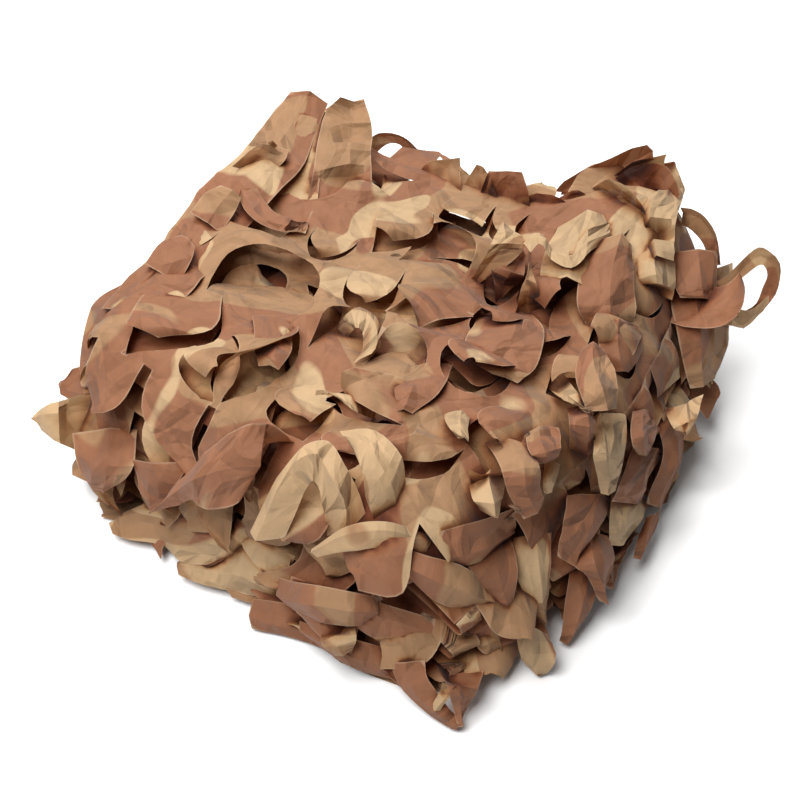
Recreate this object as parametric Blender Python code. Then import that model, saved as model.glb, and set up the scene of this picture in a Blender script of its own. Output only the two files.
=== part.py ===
"""Folded camouflage net: one die-cut cloth sheet, folded back and forth into a loose pile.

The sheet runs as a stack of passes. Folds join them at the right end and the left end in turn.
U-shaped cuts free leaves in the cloth, and those at a rim or a fold hang out of the pile.
Metres, Z up, the underside on Z = 0.
"""

import math
import random
from collections import namedtuple

import bmesh
import bpy
from mathutils import Vector
from mathutils.geometry import delaunay_2d_cdt

# The pile.
SHEET = 0.002  # thickness of the cloth with its crumple
HEIGHT = 0.148  # top pass over the floor, at the middle
START_LEFT = -0.218  # free end of the lowest pass
LEFT_SLANT = -0.15  # the left end leans out towards the far side
LEFT_BULGE = 0.25  # and bows in a little at its middle
RIGHT_BULGE_NEAR = 1.1  # the right end draws in towards the near corner
RIGHT_BULGE_FAR = 0.45
NEAR_SLANT = -0.09  # the near rim leans out towards the right
NEAR_BULGE = 0.15
CORNER_FROM = 0.02  # the far rim steps out between these two x
CORNER_TO = 0.12
UNDERSIDE = SHEET / 2

# The top of the pile falls away outside these lines, to a share of its height.
SHOULDER_LEFT = -0.198
SHOULDER_RIGHT = 0.142
SHOULDER_NEAR = -0.154
SHOULDER_FAR = 0.184
FALL_TO = 0.42
FALL_WIDTH = 0.055
LUMP_DEPTH = 6  # how fast the lumps die out below the top pass

# Leaves.
SLOT = 0.0016  # clear gap at the sides of a leaf
FOLD_STEPS = 3
SEED = 11

Pass = namedtuple("Pass", "end near far corner")
PASSES = (
    Pass(+0.200, -0.196, 0.196, 0.010),
    Pass(-0.228, -0.192, 0.192, 0.014),
    Pass(+0.206, -0.198, 0.198, 0.020),
    Pass(-0.232, -0.192, 0.194, 0.026),
    Pass(+0.204, -0.190, 0.200, 0.032),
    Pass(-0.229, -0.190, 0.194, 0.038),
    Pass(+0.200, -0.184, 0.198, 0.044),
    Pass(-0.223, -0.184, 0.192, 0.048),
    Pass(+0.184, -0.178, 0.196, 0.050),
    Pass(-0.220, -0.172, 0.190, 0.052),
)
TOP = len(PASSES) - 1

# Lumps of the top surface: centre, height, radius.
Lump = namedtuple("Lump", "x y height radius")
LUMPS = (
    Lump(-0.230, 0.185, 0.030, 0.060),
    Lump(0.110, 0.200, 0.030, 0.055),
    Lump(-0.085, -0.050, -0.005, 0.045),
    Lump(-0.150, -0.010, 0.008, 0.050),
    Lump(0.010, 0.010, 0.006, 0.040),
    Lump(0.070, -0.085, 0.007, 0.050),
    Lump(0.020, 0.110, -0.010, 0.040),
    Lump(-0.060, -0.130, 0.006, 0.040),
    Lump(0.130, 0.030, -0.008, 0.045),
)

# Leaves cut inside a pass: root centre, heading, width, length, lift at the root, curl along
# the leaf, and how far the cloth beyond the tip has drawn back.
Leaf = namedtuple("Leaf", "x y heading width length lift curl gape")
TOP_LEAVES = (
    Leaf(-0.163, 0.066, -82, 0.062, 0.044, 14, -16, 0.010),
    Leaf(-0.160, 0.134, -74, 0.052, 0.048, 16, -14, 0.008),
    Leaf(-0.096, -0.062, 95, 0.072, 0.040, -8, 6, 0.014),
    Leaf(-0.150, -0.080, -62, 0.054, 0.056, 18, -16, 0.010),
    Leaf(-0.068, -0.088, -50, 0.042, 0.052, 24, -22, 0.010),
    Leaf(-0.036, 0.034, -72, 0.032, 0.048, 20, -16, 0.010),
    Leaf(-0.006, 0.052, 97, 0.042, 0.050, -10, 6, 0.014),
    Leaf(0.034, 0.026, -112, 0.034, 0.044, 18, -14, 0.007),
    Leaf(-0.002, -0.084, 98, 0.044, 0.040, -10, 6, 0.012),
    Leaf(0.042, -0.082, 88, 0.030, 0.030, -12, 8, 0.008),
    Leaf(0.074, -0.106, -160, 0.032, 0.044, 28, -26, 0.009),
    Leaf(0.088, -0.014, -86, 0.042, 0.038, 20, -16, 0.008),
    Leaf(0.146, -0.064, -104, 0.030, 0.040, 24, -22, 0.008),
    Leaf(0.044, 0.128, -88, 0.026, 0.066, 22, -26, 0.010),
    Leaf(0.086, 0.112, -98, 0.034, 0.050, 28, -24, 0.009),
    Leaf(-0.202, 0.146, 176, 0.030, 0.016, 18, -14, 0.006),
    Leaf(-0.088, 0.150, -168, 0.028, 0.024, 16, -12, 0.006),
    Leaf(-0.068, 0.124, -66, 0.036, 0.048, 16, -12, 0.007),
    Leaf(0.106, 0.048, -88, 0.028, 0.038, 30, -24, 0.008),
    Leaf(0.146, 0.030, -78, 0.028, 0.042, 30, -34, 0.008),
    Leaf(0.108, -0.116, -86, 0.028, 0.030, 24, -26, 0.008),
    Leaf(-0.186, -0.002, -100, 0.026, 0.034, 18, -20, 0.006),
    Leaf(0.004, -0.122, -92, 0.030, 0.026, 18, -20, 0.007),
    Leaf(-0.086, -0.124, -85, 0.028, 0.026, 18, -18, 0.007),
    Leaf(0.052, -0.142, -90, 0.030, 0.022, 12, -14, 0.005),
    Leaf(0.150, 0.088, -80, 0.028, 0.036, 26, -26, 0.008),
    Leaf(0.100, 0.168, -95, 0.034, 0.036, 26, -22, 0.009),
    Leaf(0.150, 0.146, -86, 0.026, 0.034, 26, -26, 0.008),
    Leaf(-0.026, 0.166, -80, 0.032, 0.032, 20, -16, 0.008),
    Leaf(0.014, 0.168, -92, 0.020, 0.030, 20, -20, 0.008),
    Leaf(-0.098, 0.062, -78, 0.030, 0.034, 18, -14, 0.008),
    Leaf(0.070, 0.040, -92, 0.025, 0.028, 24, -22, 0.006),
)

# Leaves that stand out of the pile: pass, rim, root centre along it, width, length, lift, curl,
# lean of the tip along the rim, and whether the leaf is slit open into a ring.
Flap = namedtuple("Flap", "level rim at width length lift curl lean ring")
FLAPS = (
    Flap(9, "far", -0.207, 0.040, 0.036, 46, -16, -0.018, False),
    Flap(9, "far", -0.158, 0.044, 0.042, 70, 14, -0.008, False),
    Flap(9, "far", -0.112, 0.038, 0.044, 44, -60, -0.002, True),
    Flap(9, "far", -0.068, 0.038, 0.032, 30, -30, -0.004, False),
    Flap(9, "far", -0.024, 0.036, 0.030, 22, -30, -0.002, False),
    Flap(9, "far", 0.018, 0.036, 0.034, 40, -34, 0.002, False),
    Flap(9, "far", 0.066, 0.046, 0.048, 60, 50, 0.012, False),
    Flap(9, "far", 0.114, 0.034, 0.044, 72, 50, 0.004, False),
    Flap(9, "right", 0.160, 0.050, 0.058, 50, 80, 0.000, False),
    Flap(9, "near", -0.150, 0.044, 0.038, -4, -20, -0.006, False),
    Flap(9, "near", -0.088, 0.050, 0.044, -2, -20, 0.008, False),
    Flap(9, "near", -0.026, 0.046, 0.042, -6, -14, -0.004, False),
    Flap(9, "near", 0.036, 0.052, 0.046, -2, -20, 0.006, False),
    Flap(9, "near", 0.100, 0.048, 0.046, -4, -16, 0.010, False),
    Flap(9, "left", -0.118, 0.042, 0.040, 6, -20, 0.010, False),
    Flap(9, "left", -0.062, 0.042, 0.034, -4, -20, -0.004, False),
    Flap(9, "left", 0.000, 0.044, 0.034, -6, -16, 0.006, False),
    Flap(9, "left", 0.066, 0.046, 0.036, -2, -20, -0.006, False),
    Flap(9, "left", 0.140, 0.046, 0.042, 26, -30, -0.016, False),
    Flap(8, "far", 0.118, 0.032, 0.042, 12, -10, 0.022, True),
    Flap(7, "right", 0.186, 0.040, 0.050, 14, -6, 0.040, True),
    Flap(4, "left", -0.132, 0.046, 0.050, 4, -6, -0.014, False),
    Flap(1, "near", -0.118, 0.042, 0.032, -2, -4, -0.026, False),
    Flap(1, "near", 0.118, 0.048, 0.036, -2, -4, 0.020, False),
    Flap(2, "near", 0.126, 0.044, 0.036, -2, -4, 0.014, False),
)

# Rim leaves of the other passes.
RIM_PITCH = 0.064
RIM_WIDTH = (0.040, 0.052)
RIM_LENGTH = (0.024, 0.040)
RIM_LEAN = 0.30  # sideways at the tip, as a share of the width
RIM_MARGIN = 0.010
LEAF_SPACE = 0.005  # least cloth between two leaves

# Leaves cut across a fold.
FOLD_WIDTH = (0.034, 0.048)
FOLD_SPACE = (0.030, 0.050)
FOLD_SHIFT = 0.024
FOLD_LENGTH = (0.020, 0.034)
FOLD_REACH = 1.1  # how far a fold bulges, as a share of half its rise
FOLD_LEAN = 0.08
UPPER_SHARE = 0.7  # leaves that stay with the upper pass

Sizes = namedtuple("Sizes", "length lean")
RIM_SIZES = Sizes(RIM_LENGTH, RIM_LEAN)
FOLD_SIZES = Sizes(FOLD_LENGTH, FOLD_LEAN)

CELLS = {TOP: 0.029, TOP - 1: 0.046}
CELL_HIDDEN = 0.085
RIM_CELL = 0.020
RIM_LINES = 2
CLEAR_SHARE = 0.35  # an inner point keeps this share of a cell away from an edge
FREE_END_SHARES = (0.25, 0.5, 0.75)  # points on an end that has no leaves
ON_EDGE = 1e-7
WELD = 1e-6
PROBE = 0.002
BEND_PARTS = 8
CORNER_STEPS = 8

CLOTH_COLOUR = (0.36, 0.20, 0.11, 1.0)
CLOTH_ROUGHNESS = 0.85


def smooth_step(value, low, high):
    t = min(max((value - low) / (high - low), 0.0), 1.0)
    return t * t * (3 - 2 * t)


def left_line(end, y):
    return end + LEFT_SLANT * y + LEFT_BULGE * y * y


def right_line(end, y):
    return end - (RIGHT_BULGE_FAR if y > 0 else RIGHT_BULGE_NEAR) * y * y


def end_line(level, y):
    """Where a pass stops: a fold on the right after an even pass, on the left after an odd one."""
    line = right_line if level % 2 == 0 else left_line
    return line(PASSES[level].end, y)


def start_line(level, y):
    return left_line(START_LEFT, y) if level == 0 else end_line(level - 1, y)


def near_rim(level, x):
    return PASSES[level].near + NEAR_SLANT * x + NEAR_BULGE * x * x


def far_rim(level, x):
    row = PASSES[level]
    return row.far + row.corner * smooth_step(x, CORNER_FROM, CORNER_TO)


def pile_top(x, y):
    """Height of the pile's top over a point of the plan, without its lumps."""
    step = smooth_step(x, CORNER_FROM, CORNER_TO)
    left = left_line(SHOULDER_LEFT, y) - x
    right = x - right_line(SHOULDER_RIGHT, y)
    near = SHOULDER_NEAR + NEAR_SLANT * x - y
    far = y - SHOULDER_FAR - PASSES[TOP].corner * step
    out = math.hypot(max(left, right, 0.0), max(near, far, 0.0))
    return HEIGHT * (FALL_TO + (1 - FALL_TO) * math.exp(-((out / FALL_WIDTH) ** 2)))


def lump_height(x, y):
    return sum(
        lump.height * math.exp(-((x - lump.x) ** 2 + (y - lump.y) ** 2) / lump.radius**2)
        for lump in LUMPS
    )


def place(level, x, y):
    """A point of a pass, on the middle of the cloth."""
    share = level / TOP
    z = UNDERSIDE + share * (pile_top(x, y) - UNDERSIDE) + share**LUMP_DEPTH * lump_height(x, y)
    return Vector((x, y, z))


def inside(point, polygon):
    x, y = point
    crossings = 0
    for (x0, y0), (x1, y1) in zip(polygon, polygon[1:] + polygon[:1]):
        if (y0 > y) != (y1 > y) and x < x0 + (y - y0) * (x1 - x0) / (y1 - y0):
            crossings += 1
    return crossings % 2 == 1


# A leaf's outline: rows along its length, with its left and right edge as a share of its width.
Row = namedtuple("Row", "along left right")
LEAF_ROWS = (
    Row(0.34, -0.50, 0.50),
    Row(0.68, -0.47, 0.50),
    Row(0.90, -0.34, 0.44),
    Row(1.00, -0.10, 0.24),
)
FLAP_ROWS = (
    Row(0.40, -0.50, 0.50),
    Row(0.78, -0.42, 0.50),
    Row(1.00, -0.12, 0.30),
)
RING_SIDE = 0.30  # share of a ring's width that each of its sides keeps
OUTWARD = {
    "near": Vector((0.0, -1.0)),
    "far": Vector((0.0, 1.0)),
    "right": Vector((1.0, 0.0)),
    "left": Vector((-1.0, 0.0)),
}


def plan_frame(leaf):
    """Root centre, heading and across direction of a cut leaf, in the plan."""
    angle = math.radians(leaf.heading)
    along = Vector((math.cos(angle), math.sin(angle)))
    return Vector((leaf.x, leaf.y)), along, Vector((along.y, -along.x))


def slot_outline(leaf):
    """The opening that a cut leaf leaves in the cloth, with the leaf's root on its first side."""
    centre, along, across = plan_frame(leaf)
    half = leaf.width / 2
    reach = leaf.length + leaf.gape
    points = [centre + across * share for share in (half + SLOT, half, 0.0, -half, -half - SLOT)]
    for row in LEAF_ROWS:
        points.append(centre + along * (row.along * reach) + across * (row.left * leaf.width - SLOT))
    for row in reversed(LEAF_ROWS):
        points.append(centre + along * (row.along * reach) + across * (row.right * leaf.width + SLOT))
    return [tuple(point) for point in points]


def bent(level, root, along, lift, curl, reach, length):
    """A point of a leaf that turns up by lift at its root and by curl more along its length."""
    here = place(level, root.x, root.y)
    ahead = place(level, root.x + along.x * PROBE, root.y + along.y * PROBE)
    tangent = (ahead - here).normalized()
    normal = Vector((along.y, -along.x, 0.0)).cross(tangent).normalized()
    point = here.copy()
    for part in range(BEND_PARTS):
        share = (part + 0.5) / BEND_PARTS * reach / length
        angle = math.radians(lift + curl * share)
        point += (tangent * math.cos(angle) + normal * math.sin(angle)) * (reach / BEND_PARTS)
    return point


def add_strip(mesh, roots, rows, ring=False):
    """Faces of a leaf from its root to its tip. A ring keeps its sides and its last row."""
    lines = [[mesh.verts.new(point) for point in line] for line in [roots] + rows]
    for number, (low, high) in enumerate(zip(lines, lines[1:])):
        for left in range(len(low) - 1):
            if ring and left == 1 and number < len(rows) - 1:
                continue
            mesh.faces.new((low[left], low[left + 1], high[left + 1], high[left]))


def add_cut_leaf(mesh, level, leaf):
    centre, along, across = plan_frame(leaf)
    half = leaf.width / 2
    roots = [centre + across * share for share in (-half, 0.0, half)]
    rows = []
    for row in LEAF_ROWS:
        line = []
        for share in (row.left, (row.left + row.right) / 2, row.right):
            root = centre + across * (share * leaf.width)
            reach = row.along * leaf.length
            line.append(bent(level, root, along, leaf.lift, leaf.curl, reach, leaf.length))
        rows.append(line)
    add_strip(mesh, [place(level, *root) for root in roots], rows)


def flap_shares(row, ring):
    if not ring:
        return (row.left, (row.left + row.right) / 2, row.right)
    width = row.right - row.left
    return (row.left, row.left + RING_SIDE * width, row.right - RING_SIDE * width, row.right)


def flap_places(flap):
    """Where a flap's columns meet the rim."""
    return [flap.at + share * flap.width for share in flap_shares(Row(0, -0.5, 0.5), flap.ring)]


def add_flap(mesh, flap):
    """A leaf that stands out of the pile from a rim or an end."""
    level = flap.level
    roots = [rim_point(level, flap.rim, at) for at in flap_places(flap)]
    outward = OUTWARD[flap.rim]
    centre = (roots[0] + roots[-1]) / 2
    side = (roots[-1] - roots[0]).normalized()
    rows = []
    for row in FLAP_ROWS:
        lean = side.to_3d() * (flap.lean * row.along**2)
        reach = row.along * flap.length
        line = []
        for share in flap_shares(row, flap.ring):
            root = centre + side * (share * flap.width)
            line.append(bent(level, root, outward, flap.lift, flap.curl, reach, flap.length) + lean)
        rows.append(line)
    add_strip(mesh, [place(level, *root) for root in roots], rows, flap.ring)


def add_hanging_leaf(mesh, level, ends, outward, sizes, chance):
    """A leaf that follows the pile's own fall past a rim or a fold."""
    first, last = ends
    centre = (first + last) / 2
    across = last - first
    length = chance.uniform(*sizes.length)
    lean = chance.uniform(-sizes.lean, sizes.lean)
    rows = []
    for row in FLAP_ROWS:
        line = []
        for share in (row.left, row.right):
            flat = centre + across * (share + lean * row.along**2) + outward * (row.along * length)
            line.append(place(level, flat.x, flat.y))
        rows.append(line)
    add_strip(mesh, [place(level, *first), place(level, *last)], rows)


def pass_ends(level):
    """The lines of a pass's left end and right end."""
    ends = (start_line, end_line) if level % 2 == 0 else (end_line, start_line)
    return dict(zip(("left", "right"), ends))


def pass_folds(level):
    """Which fold is at each end of a pass, or None at a free end."""
    before = level - 1 if level > 0 else None
    after = level if level < TOP else None
    return dict(zip(("left", "right"), (before, after) if level % 2 == 0 else (after, before)))


def corner(level, end, rim):
    line = pass_ends(level)[end]
    edge = near_rim if rim == "near" else far_rim
    y = 0.0
    for _ in range(CORNER_STEPS):
        y = edge(level, line(level, y))
    return Vector((line(level, y), y))


def rim_point(level, rim, at):
    """A point of a pass's edge: of a near or far rim by its x, of a left or right end by its y."""
    if rim in ("left", "right"):
        return Vector((pass_ends(level)[rim](level, at), at))
    return Vector((at, near_rim(level, at) if rim == "near" else far_rim(level, at)))


# A leaf's root along a rim: from, to, where its columns meet the rim, its pass, and its flap, if any.
Root = namedtuple("Root", "low high places level flap")


def flap_root(flap):
    places = flap_places(flap)
    return Root(places[0] - SLOT, places[-1] + SLOT, places, flap.level, flap)


def with_room(roots, root):
    return all(root.high + LEAF_SPACE < other.low or other.high + LEAF_SPACE < root.low for other in roots)


def rim_roots(level, rim, chance):
    """The leaves along a near or far rim, from left to right."""
    roots = [flap_root(flap) for flap in FLAPS if (flap.level, flap.rim) == (level, rim)]
    low = corner(level, "left", rim).x + RIM_MARGIN
    high = corner(level, "right", rim).x - RIM_MARGIN
    count = int((high - low) / RIM_PITCH + (0.5 if level % 2 else 0.0))
    pitch = (high - low) / count
    for number in range(count):
        width = chance.uniform(*RIM_WIDTH)
        left = low + number * pitch + chance.uniform(0.0, pitch - width)
        root = Root(left, left + width, (left, left + width), level, None)
        if with_room(roots, root) and level != TOP:
            roots.append(root)
    return sorted(roots)


def fold_side(fold):
    return "right" if fold % 2 == 0 else "left"


def fold_roots(fold, chance):
    """The leaves cut across a fold, from near to far."""
    side = fold_side(fold)
    here = {(fold, side), (fold + 1, side)}
    roots = [flap_root(flap) for flap in FLAPS if (flap.level, flap.rim) in here]
    low = max(corner(fold, side, "near").y, corner(fold + 1, side, "near").y) + RIM_MARGIN
    high = min(corner(fold, side, "far").y, corner(fold + 1, side, "far").y) - RIM_MARGIN
    low += (fold % 3) * FOLD_SHIFT
    while low + FOLD_WIDTH[1] < high:
        width = chance.uniform(*FOLD_WIDTH)
        level = fold + 1 if chance.random() < UPPER_SHARE else fold
        root = Root(low, low + width, (low + SLOT, low + width - SLOT), level, None)
        if with_room(roots, root):
            roots.append(root)
        low += width + chance.uniform(*FOLD_SPACE)
    return sorted(roots)


def end_ys(level, end, folds):
    """Where an end's edge has points, from near to far."""
    fold = pass_folds(level)[end]
    if fold is not None:
        return [y for root in folds[fold] for y in (root.low, *root.places, root.high)]
    ys = [y for flap in FLAPS if (flap.level, flap.rim) == (level, end) for y in flap_places(flap)]
    row = PASSES[level]
    return ys if ys else [row.near + (row.far - row.near) * share for share in FREE_END_SHARES]


def pass_outline(level, rims, folds):
    """A pass's edge in the plan, anticlockwise from its near left corner."""
    line = []
    for rim, ends in (("near", ("left", "right")), ("far", ("right", "left"))):
        xs = [x for root in rims[rim] for x in root.places]
        ys = end_ys(level, ends[1], folds)
        if rim == "far":
            xs.reverse()
            ys.reverse()
        line.append(corner(level, ends[0], rim))
        line += [rim_point(level, rim, x) for x in xs]
        line.append(corner(level, ends[1], rim))
        line += [rim_point(level, ends[1], y) for y in ys]
    return [tuple(point) for point in line]


def inner_points(level, outline, slots):
    """Points that carry a pass's shape between its edge and its cuts."""
    cell = CELLS.get(level, CELL_HIDDEN)
    ends = pass_ends(level)
    row = PASSES[level]
    depth = row.far - row.near
    edge = outline + [point for slot in slots for point in slot]
    found = []
    for share_y in shares_across(depth, cell):
        y = row.near + share_y * depth
        left, right = ends["left"](level, y), ends["right"](level, y)
        for share_x in shares_across(right - left, cell):
            x = left + share_x * (right - left)
            near, far = near_rim(level, x), far_rim(level, x)
            point = (x, near + share_y * (far - near))
            if not inside(point, outline) or any(inside(point, slot) for slot in slots):
                continue
            if all(math.dist(point, other) > cell * CLEAR_SHARE for other in edge):
                found.append(point)
    return found


def shares_across(length, cell):
    """Shares of a length, closer together near both ends where the pile falls away."""
    rim = [RIM_CELL * number / length for number in range(1, RIM_LINES + 1)]
    count = max(int((1 - 2 * rim[-1]) * length / cell), 1)
    middle = [rim[-1] + (1 - 2 * rim[-1]) * number / count for number in range(1, count)]
    return rim + middle + [1 - share for share in reversed(rim)]


def add_pass(mesh, level, outline, leaves):
    """The cloth of one pass, with a slot for each cut leaf, and the leaves."""
    slots = [slot_outline(leaf) for leaf in leaves]
    points = []
    edges = []
    for loop in [outline] + slots:
        first = len(points)
        points += loop
        count = len(loop)
        edges += [(first + number, first + (number + 1) % count) for number in range(count)]
    points += inner_points(level, outline, slots)
    flat, _, faces, *_ = delaunay_2d_cdt([Vector(point) for point in points], edges, [], 0, ON_EDGE)
    verts = [mesh.verts.new(place(level, *point)) for point in flat]
    for face in faces:
        middle = sum((flat[corner] for corner in face), Vector((0.0, 0.0))) / len(face)
        if inside(middle, outline) and not any(inside(middle, slot) for slot in slots):
            mesh.faces.new([verts[corner] for corner in face])
    for leaf in leaves:
        add_cut_leaf(mesh, level, leaf)


def fold_arc(fold, low, high, outward):
    """Points of the cloth round a fold, from the lower pass to the upper one."""
    lower = place(fold, *low)
    upper = place(fold + 1, *high)
    middle = (lower + upper) / 2
    rise = (upper - lower) / 2
    ahead = place(fold, low[0] + outward * PROBE, low[1]) - lower
    reach = ahead.normalized() * (rise.length * FOLD_REACH)
    angles = [math.pi * step / FOLD_STEPS for step in range(FOLD_STEPS + 1)]
    return [middle + reach * math.sin(angle) - rise * math.cos(angle) for angle in angles]


def add_fold(mesh, fold, roots):
    """The cloth round a fold, left out where a leaf is cut across it."""
    end = fold_side(fold)
    pairs = [(corner(fold, end, "near"), corner(fold + 1, end, "near"))]
    cut = set()
    for root in roots:
        ys = (root.low, *root.places, root.high)
        cut |= set(range(len(pairs), len(pairs) + len(ys) - 1))
        pairs += [(rim_point(fold, end, y),) * 2 for y in ys]
    pairs.append((corner(fold, end, "far"), corner(fold + 1, end, "far")))
    arcs = [fold_arc(fold, low, high, OUTWARD[end].x) for low, high in pairs]
    for number, (near, far) in enumerate(zip(arcs, arcs[1:])):
        if number in cut:
            continue
        near_line = [mesh.verts.new(point) for point in near]
        far_line = [mesh.verts.new(point) for point in far]
        for step in range(FOLD_STEPS):
            mesh.faces.new((near_line[step], far_line[step], far_line[step + 1], near_line[step + 1]))


def add_leaves(mesh, rim, roots, sizes, chance):
    for root in roots:
        if root.flap is None:
            ends = [rim_point(root.level, rim, at) for at in root.places]
            add_hanging_leaf(mesh, root.level, ends, OUTWARD[rim], sizes, chance)
        else:
            add_flap(mesh, root.flap)


def build_net():
    """The whole cloth as one open surface, its middle layer."""
    chance = random.Random(SEED)
    folds = [fold_roots(fold, chance) for fold in range(TOP)]
    mesh = bmesh.new()
    for level in range(TOP + 1):
        rims = {rim: rim_roots(level, rim, chance) for rim in ("near", "far")}
        leaves = TOP_LEAVES if level == TOP else ()
        add_pass(mesh, level, pass_outline(level, rims, folds), leaves)
        for rim, roots in rims.items():
            add_leaves(mesh, rim, roots, RIM_SIZES, chance)
    for fold, roots in enumerate(folds):
        add_fold(mesh, fold, roots)
        add_leaves(mesh, fold_side(fold), roots, FOLD_SIZES, chance)
    for flap in FLAPS:
        if flap.level == TOP and flap.rim == "left":
            add_flap(mesh, flap)
    bmesh.ops.remove_doubles(mesh, verts=mesh.verts, dist=WELD)
    bmesh.ops.recalc_face_normals(mesh, faces=mesh.faces)
    bmesh.ops.triangulate(mesh, faces=mesh.faces)
    return mesh


def cloth_material():
    material = bpy.data.materials.new("net_cloth")
    material.use_nodes = True
    shader = material.node_tree.nodes["Principled BSDF"]
    shader.inputs["Base Color"].default_value = CLOTH_COLOUR
    shader.inputs["Roughness"].default_value = CLOTH_ROUGHNESS
    return material


def main():
    for thing in list(bpy.data.objects):
        bpy.data.objects.remove(thing)
    mesh = build_net()
    data = bpy.data.meshes.new("net")
    mesh.to_mesh(data)
    mesh.free()
    net = bpy.data.objects.new("net", data)
    bpy.context.scene.collection.objects.link(net)
    data.materials.append(cloth_material())
    cloth = net.modifiers.new("cloth", "SOLIDIFY")
    cloth.thickness = SHEET
    cloth.offset = 0.0


main()
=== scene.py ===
"""The looks of a folded camouflage net: one die-cut cloth, folded back and forth into a loose pile.

The cloth is made pass by pass on the folds of its solid, with its leaves cut, bent and crumpled.
Metres, Z up, the underside on the floor.
"""

import math
import random
from collections import namedtuple

import bmesh
import bpy
import numpy as np
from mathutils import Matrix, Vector, noise
from mathutils.bvhtree import BVHTree
from mathutils.geometry import delaunay_2d_cdt


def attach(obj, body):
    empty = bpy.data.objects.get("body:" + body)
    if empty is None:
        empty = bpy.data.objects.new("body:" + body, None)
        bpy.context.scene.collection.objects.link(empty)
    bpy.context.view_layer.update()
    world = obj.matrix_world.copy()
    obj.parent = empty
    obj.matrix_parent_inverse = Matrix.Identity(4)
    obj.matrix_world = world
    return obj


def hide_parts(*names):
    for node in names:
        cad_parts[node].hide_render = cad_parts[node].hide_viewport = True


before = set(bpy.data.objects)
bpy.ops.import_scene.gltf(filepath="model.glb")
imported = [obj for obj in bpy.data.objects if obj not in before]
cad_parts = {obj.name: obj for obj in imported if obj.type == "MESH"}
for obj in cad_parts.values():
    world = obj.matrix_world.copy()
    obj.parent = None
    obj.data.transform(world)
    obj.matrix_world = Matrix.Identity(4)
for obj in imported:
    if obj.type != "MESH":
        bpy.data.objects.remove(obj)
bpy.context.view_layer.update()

# The camera, and its square picture in dots.
AZIMUTH = math.radians(32)
ELEVATION = math.radians(40)
AIM = Vector((0.0, 0.0, 0.05))
DISTANCE = 1.0
LENS = 54
SENSOR = 36
PICTURE = 800

# The pile, as in the solid.
SHEET = 0.002
HEIGHT = 0.148
START_LEFT = -0.218
LEFT_SLANT = -0.15
LEFT_BULGE = 0.25
RIGHT_BULGE_NEAR = 1.1
RIGHT_BULGE_FAR = 0.45
NEAR_SLANT = -0.09
NEAR_BULGE = 0.15
CORNER_FROM = 0.02  # where the far rim starts to swing out towards its right corner
CORNER_TO = 0.12
UNDERSIDE = SHEET / 2
SHOULDER_LEFT = -0.198  # the pile's top is level inside its shoulders, and falls off outside
SHOULDER_RIGHT = 0.142
SHOULDER_NEAR = -0.154
SHOULDER_FAR = 0.184
FALL_TO = 0.42  # of the height
FALL_WIDTH = 0.055
LUMP_DEPTH = 6  # the greater, the fewer of the upper passes a lump reaches
PILE_MIDDLE = Vector((0.0, 0.0, 0.06))
PILE_HALF = Vector((0.22, 0.22, 0.09))

# The pile's faces as planes, for the leaves that lie on them: outward way, and how far out.
Face = namedtuple("Face", "way out")
NEAR_FACE = Face(Vector((-0.09, -1.0, 0.325)), 0.222)
RIGHT_FACE = Face(Vector((1.0, 0.0, 0.3)), 0.224)
TOP_FACE = Face(Vector((0.0, 0.0, 1.0)), 0.142)
OUT_MORE = 0.008  # the cloth's own crumple stands this far out of the faces
FACE_ROUNDING = 0.020  # of the edges where the faces meet

Pass = namedtuple("Pass", "end near far corner")
PASSES = (
    Pass(+0.200, -0.196, 0.196, 0.010),
    Pass(-0.228, -0.192, 0.192, 0.014),
    Pass(+0.206, -0.198, 0.198, 0.020),
    Pass(-0.232, -0.192, 0.194, 0.026),
    Pass(+0.204, -0.190, 0.200, 0.032),
    Pass(-0.229, -0.190, 0.194, 0.038),
    Pass(+0.200, -0.184, 0.198, 0.044),
    Pass(-0.223, -0.184, 0.192, 0.048),
    Pass(+0.184, -0.178, 0.196, 0.050),
    Pass(-0.220, -0.172, 0.190, 0.052),
)
TOP = len(PASSES) - 1

Lump = namedtuple("Lump", "x y height radius")
LUMPS = (
    Lump(-0.230, 0.185, 0.030, 0.060),
    Lump(0.110, 0.200, 0.030, 0.055),
    Lump(-0.085, -0.050, -0.005, 0.045),
    Lump(-0.150, -0.010, 0.008, 0.050),
    Lump(0.010, 0.010, 0.006, 0.040),
    Lump(0.070, -0.085, 0.007, 0.050),
    Lump(0.020, 0.110, -0.010, 0.040),
    Lump(-0.060, -0.130, 0.006, 0.040),
    Lump(0.130, 0.030, -0.008, 0.045),
)

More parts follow.
